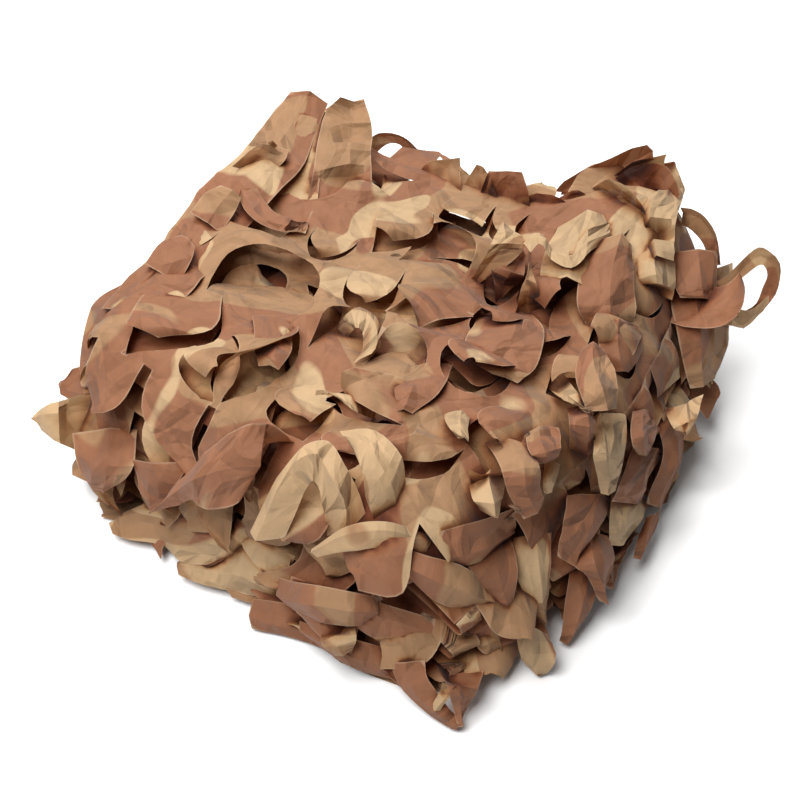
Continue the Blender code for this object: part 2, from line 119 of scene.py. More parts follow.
# Outlines of the leaves, from root to tip: left and right edge as a share of the root's width.
Row = namedtuple("Row", "along left right")
SHAPES = {
    "shoe": (
        Row(0.00, -0.50, 0.50),
        Row(0.30, -0.50, 0.52),
        Row(0.60, -0.49, 0.54),
        Row(0.80, -0.48, 0.47),
        Row(0.92, -0.48, 0.28),
        Row(1.00, -0.47, -0.12),
    ),
    "round": (
        Row(0.00, -0.50, 0.50),
        Row(0.30, -0.52, 0.50),
        Row(0.60, -0.50, 0.50),
        Row(0.80, -0.40, 0.42),
        Row(0.93, -0.24, 0.27),
        Row(1.00, -0.06, 0.08),
    ),
    "hook": (
        Row(0.00, -0.50, 0.50),
        Row(0.30, -0.49, 0.42),
        Row(0.55, -0.42, 0.40),
        Row(0.75, -0.22, 0.48),
        Row(0.90, 0.08, 0.60),
        Row(1.00, 0.40, 0.68),
    ),
    "point": (
        Row(0.00, -0.50, 0.50),
        Row(0.30, -0.49, 0.51),
        Row(0.55, -0.42, 0.47),
        Row(0.75, -0.26, 0.38),
        Row(0.90, -0.06, 0.29),
        Row(1.00, 0.12, 0.20),
    ),
    "strap": (
        Row(0.00, -0.50, 0.50),
        Row(0.30, -0.48, 0.49),
        Row(0.60, -0.49, 0.47),
        Row(0.85, -0.47, 0.46),
        Row(0.96, -0.44, 0.40),
        Row(1.00, -0.36, 0.30),
    ),
}
# Drawn at random: a name that stands here twice comes twice as often.
SHAPE_NAMES = ("shoe", "point", "hook", "point", "strap", "round", "hook")

# Leaves cut inside the top pass: root centre, heading, width, length, lift at the root, curl
# along the leaf, twist across it, how far the cloth beyond the tip stands up, outline, and
# whether that is turned over.
Leaf = namedtuple("Leaf", "x y heading width length lift curl twist mouth gape shape turned")
TOP_LEAVES = (
    Leaf(-0.163, 0.066, -82, 0.066, 0.052, -11, -10, 6, 0.009, 0.008, "shoe", False),
    Leaf(-0.160, 0.134, -74, 0.056, 0.050, -13, -6, -8, 0.007, 0.008, "round", True),
    Leaf(-0.096, -0.062, 95, 0.082, 0.050, -20, 4, 6, 0.013, 0.008, "round", False),
    Leaf(-0.150, -0.080, -62, 0.064, 0.060, 18, -20, 12, -0.006, 0.010, "shoe", True),
    Leaf(-0.068, -0.088, -50, 0.050, 0.058, 25, -34, -14, -0.007, 0.010, "hook", False),
    Leaf(-0.036, 0.034, -72, 0.040, 0.054, 13, -22, 10, -0.004, 0.010, "round", False),
    Leaf(-0.006, 0.052, 97, 0.050, 0.056, -23, 6, -6, 0.013, 0.008, "round", True),
    Leaf(0.034, 0.026, -112, 0.042, 0.050, 18, -26, 14, -0.006, 0.010, "shoe", False),
    Leaf(-0.002, -0.084, 98, 0.052, 0.046, -20, 2, 8, 0.012, 0.008, "round", False),
    Leaf(0.042, -0.082, 88, 0.038, 0.036, -20, 6, -8, 0.009, 0.008, "point", True),
    Leaf(0.074, -0.106, -160, 0.040, 0.052, 29, -30, 12, -0.004, 0.010, "point", False),
    Leaf(0.088, -0.014, -86, 0.050, 0.046, 18, -26, -10, -0.006, 0.010, "round", True),
    Leaf(0.146, -0.064, -104, 0.038, 0.044, 27, -44, 12, -0.004, 0.010, "shoe", False),
    Leaf(0.044, 0.128, -88, 0.034, 0.072, 23, -36, 22, -0.006, 0.010, "point", True),
    Leaf(0.086, 0.112, -98, 0.042, 0.056, 34, -40, -22, -0.007, 0.010, "hook", True),
    Leaf(-0.088, 0.150, -168, 0.036, 0.030, -17, 4, 8, 0.006, 0.008, "hook", False),
    Leaf(-0.068, 0.124, -66, 0.044, 0.054, 13, -16, 10, -0.006, 0.010, "shoe", True),
    Leaf(0.106, 0.048, -88, 0.036, 0.042, 39, -56, 14, -0.004, 0.010, "point", False),
    Leaf(0.146, 0.030, -78, 0.036, 0.046, 39, -60, -16, -0.006, 0.010, "shoe", True),
    Leaf(0.108, -0.116, -86, 0.036, 0.036, 25, -40, 10, -0.006, 0.010, "hook", False),
    Leaf(-0.186, -0.002, -100, 0.034, 0.040, 13, -26, -8, -0.004, 0.010, "point", True),
    Leaf(0.004, -0.122, -92, 0.038, 0.032, 18, -30, 8, -0.006, 0.010, "shoe", False),
    Leaf(-0.086, -0.124, -85, 0.036, 0.032, 18, -24, -10, -0.006, 0.010, "hook", True),
    Leaf(0.052, -0.142, -90, 0.038, 0.028, 11, -20, 8, -0.003, 0.010, "round", False),
    Leaf(0.150, 0.088, -80, 0.034, 0.042, 34, -50, 12, -0.004, 0.010, "shoe", True),
    Leaf(0.100, 0.168, -95, 0.040, 0.040, 29, -40, -14, -0.004, 0.010, "hook", False),
    Leaf(0.150, 0.146, -86, 0.032, 0.038, 27, -40, 10, -0.004, 0.010, "point", False),
    Leaf(-0.026, 0.166, -80, 0.040, 0.036, 20, -30, 10, -0.004, 0.010, "shoe", False),
    Leaf(0.014, 0.168, -92, 0.028, 0.036, 23, -36, -10, -0.003, 0.010, "hook", True),
    Leaf(-0.098, 0.062, -78, 0.038, 0.038, 13, -20, 8, -0.004, 0.010, "point", False),
    Leaf(0.070, 0.040, -92, 0.032, 0.032, 25, -40, 8, -0.004, 0.010, "round", True),
)

# Leaves that stand out of the top pass: rim, root centre along it, width, length, lift, curl,
# twist, lean of the tip along the rim, outline, and whether that is turned over.
Flap = namedtuple("Flap", "level rim at width length lift curl twist lean shape turned")
FLAPS = (
    Flap(9, "far", -0.186, 0.044, 0.034, 40, -14, -6, -0.004, "round", False),
    Flap(9, "far", -0.112, 0.038, 0.046, 44, -60, 8, -0.002, "strap", False),
    Flap(9, "far", -0.068, 0.038, 0.034, 30, -30, -10, -0.004, "hook", True),
    Flap(9, "far", -0.024, 0.036, 0.032, 22, -30, 10, -0.002, "shoe", False),
    Flap(9, "far", 0.018, 0.036, 0.036, 40, -34, -12, 0.002, "point", True),
    Flap(9, "far", 0.066, 0.040, 0.030, 40, 30, 10, 0.006, "shoe", False),
    Flap(9, "far", 0.114, 0.034, 0.028, 45, 40, -10, 0.004, "round", False),
    Flap(9, "right", 0.160, 0.050, 0.056, 50, 80, 10, 0.000, "strap", False),
    Flap(9, "right", 0.100, 0.044, 0.044, 8, -50, 14, 0.006, "shoe", True),
    Flap(9, "right", 0.040, 0.046, 0.046, 12, -60, -12, -0.004, "hook", False),
    Flap(9, "right", -0.030, 0.046, 0.044, 6, -50, 10, 0.006, "shoe", False),
    Flap(9, "right", -0.100, 0.046, 0.046, 10, -50, -10, -0.004, "round", True),
    Flap(9, "near", -0.150, 0.052, 0.046, -2, -30, 10, -0.008, "round", False),
    Flap(9, "near", -0.088, 0.056, 0.054, 2, -36, -12, 0.008, "hook", False),
    Flap(9, "near", -0.026, 0.052, 0.050, -4, -20, 12, -0.004, "shoe", True),
    Flap(9, "near", 0.036, 0.058, 0.056, 0, -34, -10, 0.006, "round", True),
    Flap(9, "near", 0.100, 0.054, 0.054, -2, -26, 12, 0.010, "shoe", False),
    Flap(9, "left", -0.118, 0.046, 0.046, 2, -30, 8, 0.010, "shoe", False),
    Flap(9, "left", -0.062, 0.046, 0.038, -4, -26, -8, -0.004, "hook", True),
    Flap(9, "left", 0.000, 0.048, 0.038, -6, -20, 8, 0.006, "round", False),
    Flap(9, "left", 0.066, 0.050, 0.038, -2, -30, -10, -0.006, "shoe", True),
    Flap(9, "left", 0.140, 0.050, 0.044, 22, -36, 8, -0.012, "point", False),
)

# Long free leaves that lie over the pile. Each has lines across it, from one edge to the other,
# as the camera sees them: each edge's x and y in the camera's picture, then how deep each edge
# lies, in millimetres: its height, its y, or how far out from the pile's faces. The ridge is the
# rise of its crease, and the tone is how light the print is there (dark below 0).
MILLIMETRE = 0.001
BAND_COLUMNS = 8
BAND_CREASES = (0.5, 0.25, 0.625, 0.375)  # as a share of the width, taken in turn
BAND_STEP = 0.005
BAND_STEPS = 4  # at least
BAND_AHEAD = 0.02  # of the leaf's length, to find its direction
ROOT_NEAR = 0.002  # an end that lies less than this over the cloth, or more than the reach, stays
ROOT_REACH = 0.06
ROOT_DEPTH = 0.001
BAND_FLATS = 5  # leaves side by side on the flat print, past the end of the folded cloth
BAND_FLAT_FROM = (-0.16, 4.6)
BAND_FLAT_STEP = (0.08, 0.15)
Band = namedtuple("Band", "name ridge tone depth lines")
Line = namedtuple("Line", "x0 y0 x1 y1 depth0 depth1")
BANDS = (
    Band("far edge", 8, -0.02, "height", (
        Line(102, 306, 156, 330, 132, 140), Line(136, 268, 190, 296, 142, 150),
        Line(168, 232, 222, 262, 150, 154), Line(200, 196, 250, 226, 158, 158),
        Line(234, 160, 282, 192, 168, 164), Line(264, 126, 310, 160, 184, 174),
        Line(290, 93, 326, 104, 201, 194),
    )),
    Band("far corner", 4, 0.06, "height", (
        Line(246, 210, 318, 216, 146, 146), Line(262, 176, 322, 186, 162, 158),
        Line(284, 140, 328, 150, 180, 174), Line(298, 108, 330, 112, 196, 190),
    )),
    Band("orange leaf", 6, -0.10, "height", (
        Line(306, 214, 374, 204, 146, 146), Line(316, 176, 374, 170, 164, 162),
        Line(322, 138, 373, 136, 182, 178), Line(326, 112, 370, 116, 194, 190),
        Line(338, 97, 362, 97, 203, 200),
    )),
    Band("grey arch", 2, 0.05, "y", (
        Line(362, 152, 370, 164, 206, 206), Line(376, 134, 386, 146, 220, 220),
        Line(402, 134, 402, 146, 226, 226), Line(418, 150, 406, 160, 222, 222),
        Line(426, 170, 411, 174, 212, 212),
    )),
    Band("left shoulder", 6, -0.05, "height", (
        Line(160, 252, 196, 246, 152, 152), Line(128, 276, 176, 284, 142, 146),
        Line(98, 298, 146, 322, 126, 136), Line(84, 334, 128, 352, 108, 118),
        Line(78, 368, 118, 380, 90, 100), Line(84, 394, 104, 398, 80, 86),
    )),
    Band("left fold leaf", 6, -0.15, "height", (
        Line(70, 372, 92, 360, 80, 95), Line(60, 382, 88, 392, 66, 80),
        Line(64, 388, 84, 404, 62, 74),
    )),
    Band("far tan leaf", 4, 0.05, "y", (
        Line(412, 202, 462, 196, 176, 176), Line(413, 178, 459, 176, 184, 184),
        Line(424, 160, 456, 157, 190, 190),
    )),
    Band("far point", 3, -0.05, "y", (
        Line(456, 202, 498, 198, 182, 182), Line(461, 184, 492, 178, 188, 188),
        Line(476, 165, 482, 167, 192, 192),
    )),
    Band("far brown leaf", 5, -0.12, "y", (
        Line(478, 218, 530, 216, 178, 178), Line(480, 192, 529, 190, 184, 184),
        Line(490, 171, 524, 174, 188, 188),
    )),
    Band("far grey leaf", 4, 0.03, "y", (
        Line(514, 228, 560, 220, 182, 182), Line(524, 206, 566, 206, 188, 188),
        Line(532, 196, 552, 198, 190, 190),
    )),
    Band("back point", 3, -0.05, "y", (
        Line(552, 224, 592, 216, 194, 194), Line(560, 202, 586, 196, 200, 200),
        Line(572, 192, 580, 192, 202, 202),
    )),
    Band("sand cone", 4, 0.25, "height", (
        Line(500, 224, 508, 224, 178, 178), Line(487, 246, 524, 246, 172, 172),
        Line(469, 280, 478, 286, 160, 160),
    )),
    Band("cone inside", -4, -0.25, "height", (
        Line(523, 248, 528, 254, 160, 160), Line(497, 268, 522, 274, 156, 156),
        Line(478, 282, 514, 290, 152, 152),
    )),
    Band("dark oval", -6, -0.25, "height", (
        Line(530, 246, 552, 246, 160, 160), Line(527, 268, 557, 268, 153, 153),
        Line(536, 296, 555, 298, 147, 147),
    )),
    Band("sand wave", 3, 0.25, "height", (
        Line(522, 242, 530, 252, 172, 172), Line(540, 232, 541, 243, 177, 177),
        Line(553, 244, 552, 258, 171, 171), Line(573, 243, 572, 264, 173, 173),
        Line(589, 226, 590, 250, 180, 180), Line(608, 222, 606, 240, 184, 184),
    )),
    Band("spike", 3, -0.10, "height", (
        Line(512, 312, 540, 308, 150, 150), Line(518, 286, 536, 290, 158, 158),
        Line(526, 262, 529, 262, 172, 172),
    )),
    Band("round grey leaf", 3, -0.03, "height", (
        Line(480, 318, 524, 310, 150, 150), Line(464, 336, 542, 328, 151, 151),
        Line(466, 358, 538, 364, 150, 150), Line(490, 374, 516, 382, 147, 147),
    )),
    Band("left tip", 6, 0.00, "out", (
        Line(96, 392, 84, 452, -10, 6), Line(60, 401, 64, 442, 4, 8),
        Line(46, 408, 50, 432, 6, 6), Line(40, 414, 43, 424, 6, 6),
    )),
    Band("hanging lobe", 6, -0.08, "out", (
        Line(78, 432, 140, 430, 0, 4), Line(86, 466, 136, 462, 8, 8),
        Line(96, 486, 124, 480, 6, 6), Line(106, 492, 114, 491, 4, 4),
    )),
    Band("lit leaf", 4, -0.10, "out", (
        Line(132, 458, 190, 458, 10, 10), Line(142, 488, 168, 492, 6, 6),
        Line(149, 508, 156, 508, 4, 4),
    )),
    Band("rounded brown leaf", 10, -0.10, "out", (
        Line(150, 504, 156, 510, 12, 12), Line(192, 468, 192, 498, 18, 18),
        Line(232, 430, 216, 508, 22, 22), Line(266, 424, 246, 500, 22, 22),
        Line(292, 442, 252, 462, 14, 14),
    )),
    Band("first tongue", 4, 0.14, "height", (
        Line(111, 523, 113, 534, 10, 10), Line(130, 510, 130, 540, 18, 10),
        Line(164, 497, 163, 545, 36, 12), Line(206, 500, 182, 562, 56, 14),
        Line(246, 524, 214, 566, 60, 22), Line(262, 540, 236, 566, 60, 34),
    )),
    Band("second tongue", 4, 0.06, "height", (
        Line(176, 562, 178, 575, 10, 10), Line(196, 551, 200, 584, 18, 10),
        Line(226, 546, 224, 590, 32, 10), Line(264, 548, 250, 596, 50, 12),
        Line(300, 556, 284, 600, 56, 20),
    )),
    Band("sand arch", 8, 0.20, "out", (
        Line(256, 532, 288, 536, 8, 8), Line(275, 488, 301, 500, 14, 14),
        Line(298, 452, 309, 486, 18, 18), Line(326, 446, 314, 487, 18, 18),
        Line(346, 474, 322, 512, 16, 16), Line(364, 514, 328, 534, 12, 12),
    )),
    Band("sand shoulder", 6, 0.20, "out", (
        Line(338, 434, 350, 452, 20, 20), Line(372, 430, 360, 470, 22, 22),
        Line(398, 452, 364, 500, 20, 20), Line(402, 484, 372, 520, 14, 14),
    )),
    Band("strap", 3, 0.10, "out", (
        Line(312, 546, 318, 556, 14, 14), Line(345, 528, 350, 549, 18, 18),
        Line(386, 523, 388, 546, 18, 18), Line(427, 538, 422, 553, 16, 16),
    )),
    Band("upper bow", 6, -0.10, "out", (
        Line(520, 508, 506, 548, 16, 16), Line(470, 522, 470, 566, 20, 20),
        Line(438, 532, 448, 568, 18, 18),
    )),
    Band("lower bow", 8, -0.10, "out", (
        Line(388, 544, 390, 552, 12, 12), Line(424, 556, 414, 582, 20, 20),
        Line(456, 566, 438, 602, 24, 24), Line(478, 582, 462, 608, 20, 20),
        Line(488, 592, 478, 602, 16, 16),
    )),
    Band("pointed leaf", 3, -0.10, "out", (
        Line(460, 563, 511, 542, 16, 16), Line(474, 582, 517, 574, 22, 22),
        Line(492, 600, 508, 598, 22, 22), Line(503, 606, 506, 606, 20, 20),
    )),
    Band("middle strip", 5, -0.10, "out", (
        Line(340, 588, 344, 614, 6, 6), Line(386, 602, 378, 642, 14, 14),
        Line(428, 618, 414, 656, 14, 14),
    )),
    Band("rusty strip", 4, -0.20, "out", (
        Line(384, 642, 412, 630, 10, 10), Line(402, 668, 424, 656, 12, 12),
        Line(420, 694, 434, 678, 10, 10),
    )),
    Band("notched strip", 6, -0.10, "out", (
        Line(424, 612, 428, 642, 8, 8), Line(462, 614, 462, 644, 14, 14),
        Line(486, 602, 482, 648, 16, 16), Line(500, 640, 496, 656, 14, 14),
    )),
    Band("corner left", 4, -0.20, "height", (
        Line(388, 664, 420, 660, 30, 50), Line(402, 690, 424, 680, 14, 34),
        Line(424, 712, 440, 700, 6, 24), Line(446, 726, 454, 714, 4, 12),
        Line(457, 729, 461, 722, 4, 6),
    )),
    Band("corner right", 4, -0.20, "height", (
        Line(428, 660, 484, 664, 60, 40), Line(442, 684, 477, 686, 40, 24),
        Line(452, 706, 469, 706, 22, 12), Line(458, 728, 463, 722, 8, 6),
    )),
    Band("corner curl", 3, 0.20, "height", (
        Line(441, 681, 453, 685, 42, 42), Line(437, 695, 448, 699, 30, 30),
        Line(431, 708, 441, 712, 15, 15),
    )),
    Band("grey tail", 4, 0.10, "height", (
        Line(510, 622, 548, 632, 50, 50), Line(520, 648, 558, 654, 22, 22),
        Line(530, 668, 548, 672, 6, 6), Line(538, 674, 542, 674, 4, 4),
    )),
    Band("long rusty leaf", 6, -0.20, "out", (
        Line(574, 556, 604, 562, 4, 10), Line(568, 600, 602, 594, 8, 14),
        Line(563, 630, 583, 622, 10, 14), Line(560, 640, 566, 638, 10, 10),
    )),
    Band("rusty curl", 10, -0.20, "out", (
        Line(576, 538, 612, 538, 12, 12), Line(578, 570, 622, 560, 22, 22),
        Line(592, 584, 618, 580, 22, 22), Line(603, 603, 607, 600, 20, 20),
    )),
    Band("tan upright", 5, 0.00, "out", (
        Line(564, 496, 610, 500, 10, 10), Line(564, 528, 598, 536, 16, 16),
        Line(560, 560, 584, 574, 16, 16),
    )),
    Band("sand upright", 5, 0.20, "out", (
        Line(612, 498, 652, 500, 4, 4), Line(611, 524, 645, 524, 10, 10),
        Line(612, 546, 630, 548, 10, 10),
    )),
    Band("rim strap", 6, -0.05, "out", (
        Line(586, 350, 604, 350, 10, 10), Line(577, 378, 615, 369, 16, 16),
        Line(580, 396, 616, 388, 18, 18), Line(584, 409, 614, 405, 14, 14),
    )),
    Band("rim beak", 3, 0.05, "out", (
        Line(548, 389, 566, 378, 8, 8), Line(562, 398, 576, 390, 14, 14),
        Line(586, 412, 589, 409, 14, 14),
    )),
    Band("orange tuck", 6, -0.20, "out", (
        Line(562, 404, 592, 410, 4, 4), Line(564, 424, 591, 426, 12, 12),
        Line(562, 446, 590, 449, 12, 12),
    )),
    Band("square tuck", 4, -0.05, "out", (
        Line(520, 434, 552, 428, 10, 10), Line(526, 448, 556, 442, 16, 16),
        Line(535, 461, 555, 455, 14, 14),
    )),
    Band("diagonal strap", 5, -0.05, "out", (
        Line(484, 440, 520, 434, 10, 10), Line(500, 462, 535, 460, 18, 18),
        Line(508, 492, 537, 484, 20, 20), Line(524, 520, 540, 498, 16, 16),
    )),
    Band("small sand square", 2, 0.25, "out", (
        Line(538, 462, 554, 464, 6, 6), Line(540, 480, 552, 481, 8, 8),
        Line(542, 492, 549, 492, 6, 6),
    )),
    Band("sand corner", 3, 0.25, "out", (
        Line(446, 414, 470, 417, 6, 6), Line(450, 424, 470, 430, 10, 10),
        Line(462, 438, 470, 442, 10, 10),
    )),
    Band("sand tuck", 3, 0.25, "out", (
        Line(470, 467, 502, 467, 8, 8), Line(472, 482, 504, 478, 14, 14),
    )),
    Band("sand ball", 12, 0.20, "out", (
        Line(470, 484, 504, 480, 4, 4), Line(472, 498, 503, 494, 8, 8),
        Line(480, 510, 498, 506, 6, 6),
    )),
    Band("grey upright", 5, 0.03, "out", (
        Line(590, 420, 622, 414, 4, 4), Line(590, 446, 624, 440, 10, 10),
        Line(594, 474, 622, 470, 10, 10), Line(600, 494, 614, 490, 8, 8),
    )),
    Band("rusty foot", 4, -0.20, "height", (
        Line(254, 600, 252, 628, 34, 4), Line(280, 602, 280, 634, 32, 4),
        Line(306, 606, 304, 641, 30, 4), Line(328, 610, 322, 648, 30, 4),
    )),
    Band("middle fold", 8, -0.10, "out", (
        Line(284, 578, 296, 608, 4, 4), Line(310, 580, 322, 620, 12, 12),
        Line(350, 588, 352, 622, 14, 14), Line(376, 594, 372, 612, 8, 8),
    )),
    Band("small block", 4, -0.05, "out", (
        Line(326, 616, 350, 604, 12, 12), Line(322, 640, 356, 634, 16, 16),
        Line(336, 654, 352, 650, 14, 14),
    )),
    Band("left sand point", 3, 0.30, "height", (
        Line(314, 394, 322, 390, 156, 156), Line(345, 392, 352, 410, 160, 160),
        Line(372, 398, 374, 420, 154, 154),
    )),
    Band("slit leaf", 4, -0.05, "height", (
        Line(252, 318, 288, 326, 152, 152), Line(250, 344, 290, 350, 160, 160),
        Line(256, 366, 276, 370, 158, 158),
    )),
    Band("arch leaf", 5, 0.10, "height", (
        Line(340, 326, 352, 340, 150, 150), Line(358, 312, 360, 332, 160, 160),
        Line(378, 318, 366, 338, 160, 160), Line(384, 338, 366, 352, 156, 156),
        Line(372, 360, 358, 366, 150, 150),
    )),
    Band("centre point", 4, -0.10, "height", (
        Line(400, 372, 452, 366, 150, 150), Line(388, 390, 440, 392, 158, 158),
        Line(394, 412, 414, 414, 156, 156),
    )),
    Band("far lip", 3, 0.03, "height", (
        Line(236, 188, 252, 184, 162, 162), Line(252, 214, 270, 204, 168, 168),
        Line(280, 230, 290, 218, 166, 166), Line(306, 234, 310, 222, 158, 158),
    )),
    Band("edge lip one", 4, -0.12, "height", (
        Line(192, 216, 224, 232, 164, 160), Line(206, 198, 238, 212, 172, 168),
        Line(224, 188, 244, 198, 176, 172),
    )),
    Band("edge lip two", 4, 0.08, "height", (
        Line(234, 168, 266, 184, 176, 170), Line(252, 148, 284, 164, 186, 178),
        Line(272, 140, 290, 150, 192, 184),
    )),
    Band("edge point", 4, -0.10, "height", (
        Line(146, 264, 180, 284, 152, 154), Line(160, 244, 194, 262, 160, 160),
        Line(182, 236, 198, 246, 162, 162),
    )),
    Band("dark upright", 5, -0.10, "out", (
        Line(606, 550, 630, 540, -2, -2), Line(606, 576, 623, 568, 2, 2),
        Line(610, 590, 616, 588, 4, 4),
    )),
    Band("tan-brown strip", 5, 0.00, "out", (
        Line(510, 542, 552, 536, 6, 6), Line(514, 575, 550, 578, 12, 12),
        Line(526, 600, 548, 606, 14, 14), Line(540, 622, 550, 622, 14, 14),
    )),
    Band("front strip", 5, -0.10, "out", (
        Line(296, 574, 298, 612, 2, 2), Line(322, 582, 320, 634, 8, 8),
        Line(356, 604, 350, 654, 8, 8),
    )),
    Band("foot strip", 4, -0.20, "out", (
        Line(300, 620, 306, 634, -2, -2), Line(350, 636, 352, 668, 2, 2),
        Line(392, 652, 396, 682, 2, 2),
    )),
    Band("right strip one", 5, -0.10, "out", (
        Line(630, 408, 654, 414, 6, 6), Line(628, 436, 654, 440, 12, 12),
        Line(638, 454, 648, 457, 12, 12),
    )),
    Band("right strip two", 5, -0.10, "out", (
        Line(632, 450, 662, 456, 2, 2), Line(621, 480, 652, 484, 8, 8),
        Line(612, 502, 646, 505, 8, 8),
    )),
    Band("right strip three", 6, -0.10, "out", (
        Line(654, 414, 684, 418, -4, -4), Line(664, 450, 682, 456, 2, 2),
        Line(650, 506, 662, 514, 4, 4),
    )),
    Band("right sand flap", 5, 0.20, "out", (
        Line(664, 408, 702, 392, 2, 30), Line(670, 424, 696, 414, 8, 30),
        Line(680, 434, 690, 430, 14, 22),
    )),
    Band("right low flap", 5, -0.10, "out", (
        Line(650, 520, 662, 508, 4, 4), Line(640, 548, 658, 528, 8, 8),
        Line(636, 560, 642, 556, 6, 6),
    )),
    Band("roll back", 6, -0.10, "y", (
        Line(556, 194, 562, 198, 232, 232), Line(590, 166, 597, 190, 238, 238),
        Line(626, 149, 620, 180, 242, 242), Line(645, 142, 652, 158, 244, 244),
    )),
    Band("roll rim", 4, 0.20, "y", (
        Line(612, 178, 620, 190, 236, 236), Line(634, 158, 636, 178, 240, 240),
        Line(664, 153, 662, 178, 244, 244),
    )),
    Band("roll inside", -6, -0.20, "y", (
        Line(616, 178, 618, 214, 232, 232), Line(634, 164, 640, 214, 236, 236),
        Line(662, 164, 662, 206, 238, 238), Line(681, 190, 678, 214, 226, 226),
    )),
    Band("roll front", 12, 0.20, "y", (
        Line(640, 206, 682, 188, 186, 214), Line(646, 228, 681, 216, 176, 196),
        Line(650, 246, 680, 240, 164, 178), Line(654, 264, 679, 262, 152, 162),
    )),
    Band("roll arch", 6, 0.20, "y", (
        Line(592, 190, 606, 214, 196, 196), Line(607, 178, 614, 208, 192, 192),
        Line(630, 188, 624, 214, 186, 186), Line(646, 212, 637, 226, 180, 180),
        Line(654, 246, 644, 256, 174, 174),
    )),
    Band("small cone", 10, 0.10, "height", (
        Line(638, 250, 680, 254, 166, 158), Line(638, 280, 679, 286, 150, 140),
        Line(652, 296, 674, 302, 136, 130),
    )),
    Band("grey leaf", 10, 0.00, "height", (
        Line(604, 236, 636, 246, 172, 166), Line(584, 264, 636, 280, 168, 156),
        Line(576, 300, 636, 310, 154, 142), Line(586, 324, 632, 326, 142, 130),
    )),
    Band("lit curl", 10, -0.20, "height", (
        Line(598, 322, 644, 326, 150, 136), Line(600, 346, 642, 352, 140, 124),
        Line(610, 369, 626, 368, 126, 120),
    )),
    Band("sand folds", 10, 0.20, "height", (
        Line(556, 226, 606, 216, 165, 175), Line(546, 252, 600, 252, 160, 170),
        Line(540, 280, 586, 284, 155, 160),
    )),
    Band("far arch", 3, -0.10, "y", (
        Line(682, 208, 682, 224, 214, 214), Line(697, 210, 693, 229, 216, 216),
        Line(710, 218, 703, 242, 216, 216), Line(719, 236, 709, 257, 214, 214),
        Line(720, 266, 711, 268, 210, 210),
    )),
    Band("far leaf", 6, -0.10, "height", (
        Line(678, 256, 718, 252, 150, 140), Line(678, 286, 716, 290, 135, 120),
        Line(682, 300, 712, 304, 128, 112),
    )),
    Band("far hanging leaf", 8, 0.00, "height", (
        Line(674, 288, 732, 262, 138, 124), Line(675, 322, 730, 308, 112, 96),
        Line(683, 362, 722, 352, 84, 70), Line(692, 388, 712, 378, 62, 56),
    )),
    Band("loop", 3, -0.10, "y", (
        Line(700, 284, 704, 300, 186, 186), Line(716, 282, 722, 294, 196, 196),
        Line(731, 272, 737, 280, 206, 206), Line(747, 254, 752, 268, 216, 216),
        Line(761, 247, 760, 266, 222, 222), Line(778, 264, 764, 276, 224, 224),
        Line(775, 288, 760, 288, 222, 222), Line(762, 308, 753, 302, 214, 214),
        Line(741, 328, 739, 312, 204, 204),
    )),
    Band("loop foot", 3, 0.10, "y", (
        Line(686, 306, 690, 336, 168, 168), Line(718, 300, 724, 326, 186, 186),
        Line(744, 310, 742, 328, 200, 200), Line(766, 296, 762, 312, 214, 214),
    )),
)

# Random leaves of the rims and folds. A pair is a range.
SEED = 23
RIM_PITCH = 0.056
RIM_WIDTH = (0.040, 0.054)
RIM_LENGTH = (0.028, 0.064)
RIM_MARGIN = 0.008
LEAF_SPACE = 0.004
FOLD_WIDTH = (0.038, 0.052)
FOLD_SPACE = (0.012, 0.034)
FOLD_LENGTH = (0.030, 0.052)
Hang = namedtuple("Hang", "lift curl")  # at the root and along the leaf
HANGS = {
    "near": Hang((-46.0, -8.0), (-34.0, 22.0)),
    "right": Hang((-44.0, 2.0), (-40.0, 30.0)),
    "far": Hang((-30.0, 10.0), (-40.0, 10.0)),
    "left": Hang((-34.0, 6.0), (-40.0, 16.0)),
}
TWIST = (-26.0, 26.0)
CUP = (-0.002, 0.006)
CUT_CUP = 0.002  # how far the middle of a leaf cut inside a pass stands up across it
FLAP_CUP = 0.003
LEAN = 0.42  # sideways at the tip, as a share of the width
LOW_LENGTH = 0.35  # of the lowest pass's leaves, as a share of the top one's
LOW_BEND = 0.3
UPPER_SHARE = 0.7  # of a fold's leaves that hang from its upper pass
TURNED_SHARE = 0.5  # of leaves whose outline is turned over
FOLD_REACH = 1.1  # how far a fold stands out, as a share of its half height
FOLD_ROUND = math.pi / 2 * HEIGHT / TOP  # length of the cloth round a fold

# Random leaves cut inside the passes just below the top, and small ones that fill the top pass.
# A pair is a range.
Cut = namedtuple("Cut", "width length lift curl twist mouth gape")
INNER_CUT = Cut((0.036, 0.050), (0.036, 0.048), (-16, 8), (-16, 10), TWIST, (-0.003, 0.004), (0.004, 0.012))
RAISED_CUT = Cut((0.030, 0.050), (0.032, 0.052), (-20, -8), (-6, 6), TWIST, (0.004, 0.009), (0.003, 0.009))
HANGING_CUT = Cut((0.030, 0.050), (0.032, 0.052), (12, 32), (-50, -14), TWIST, (-0.005, 0.0), (0.003, 0.009))
INNER_PASSES = 2  # below the top one, that have cut leaves
INNER_PITCH = 0.066
INNER_ROWS = 0.86  # of the pitch
INNER_X = (-0.19, 0.15)
INNER_NEAR = 0.04  # from the near rim
INNER_FAR = 0.03
INNER_TURN = (-30, 30)
INNER_BACK_SHARE = 0.4
FILLING = 500  # tries at one more leaf in the top pass
FILLING_X = (-0.21, 0.18)
FILLING_Y = (-0.17, 0.23)
FILLING_TURN = (-35, 35)
RAISED_SHARE = 0.3
BRIDGE = 0.006  # least cloth between two holes

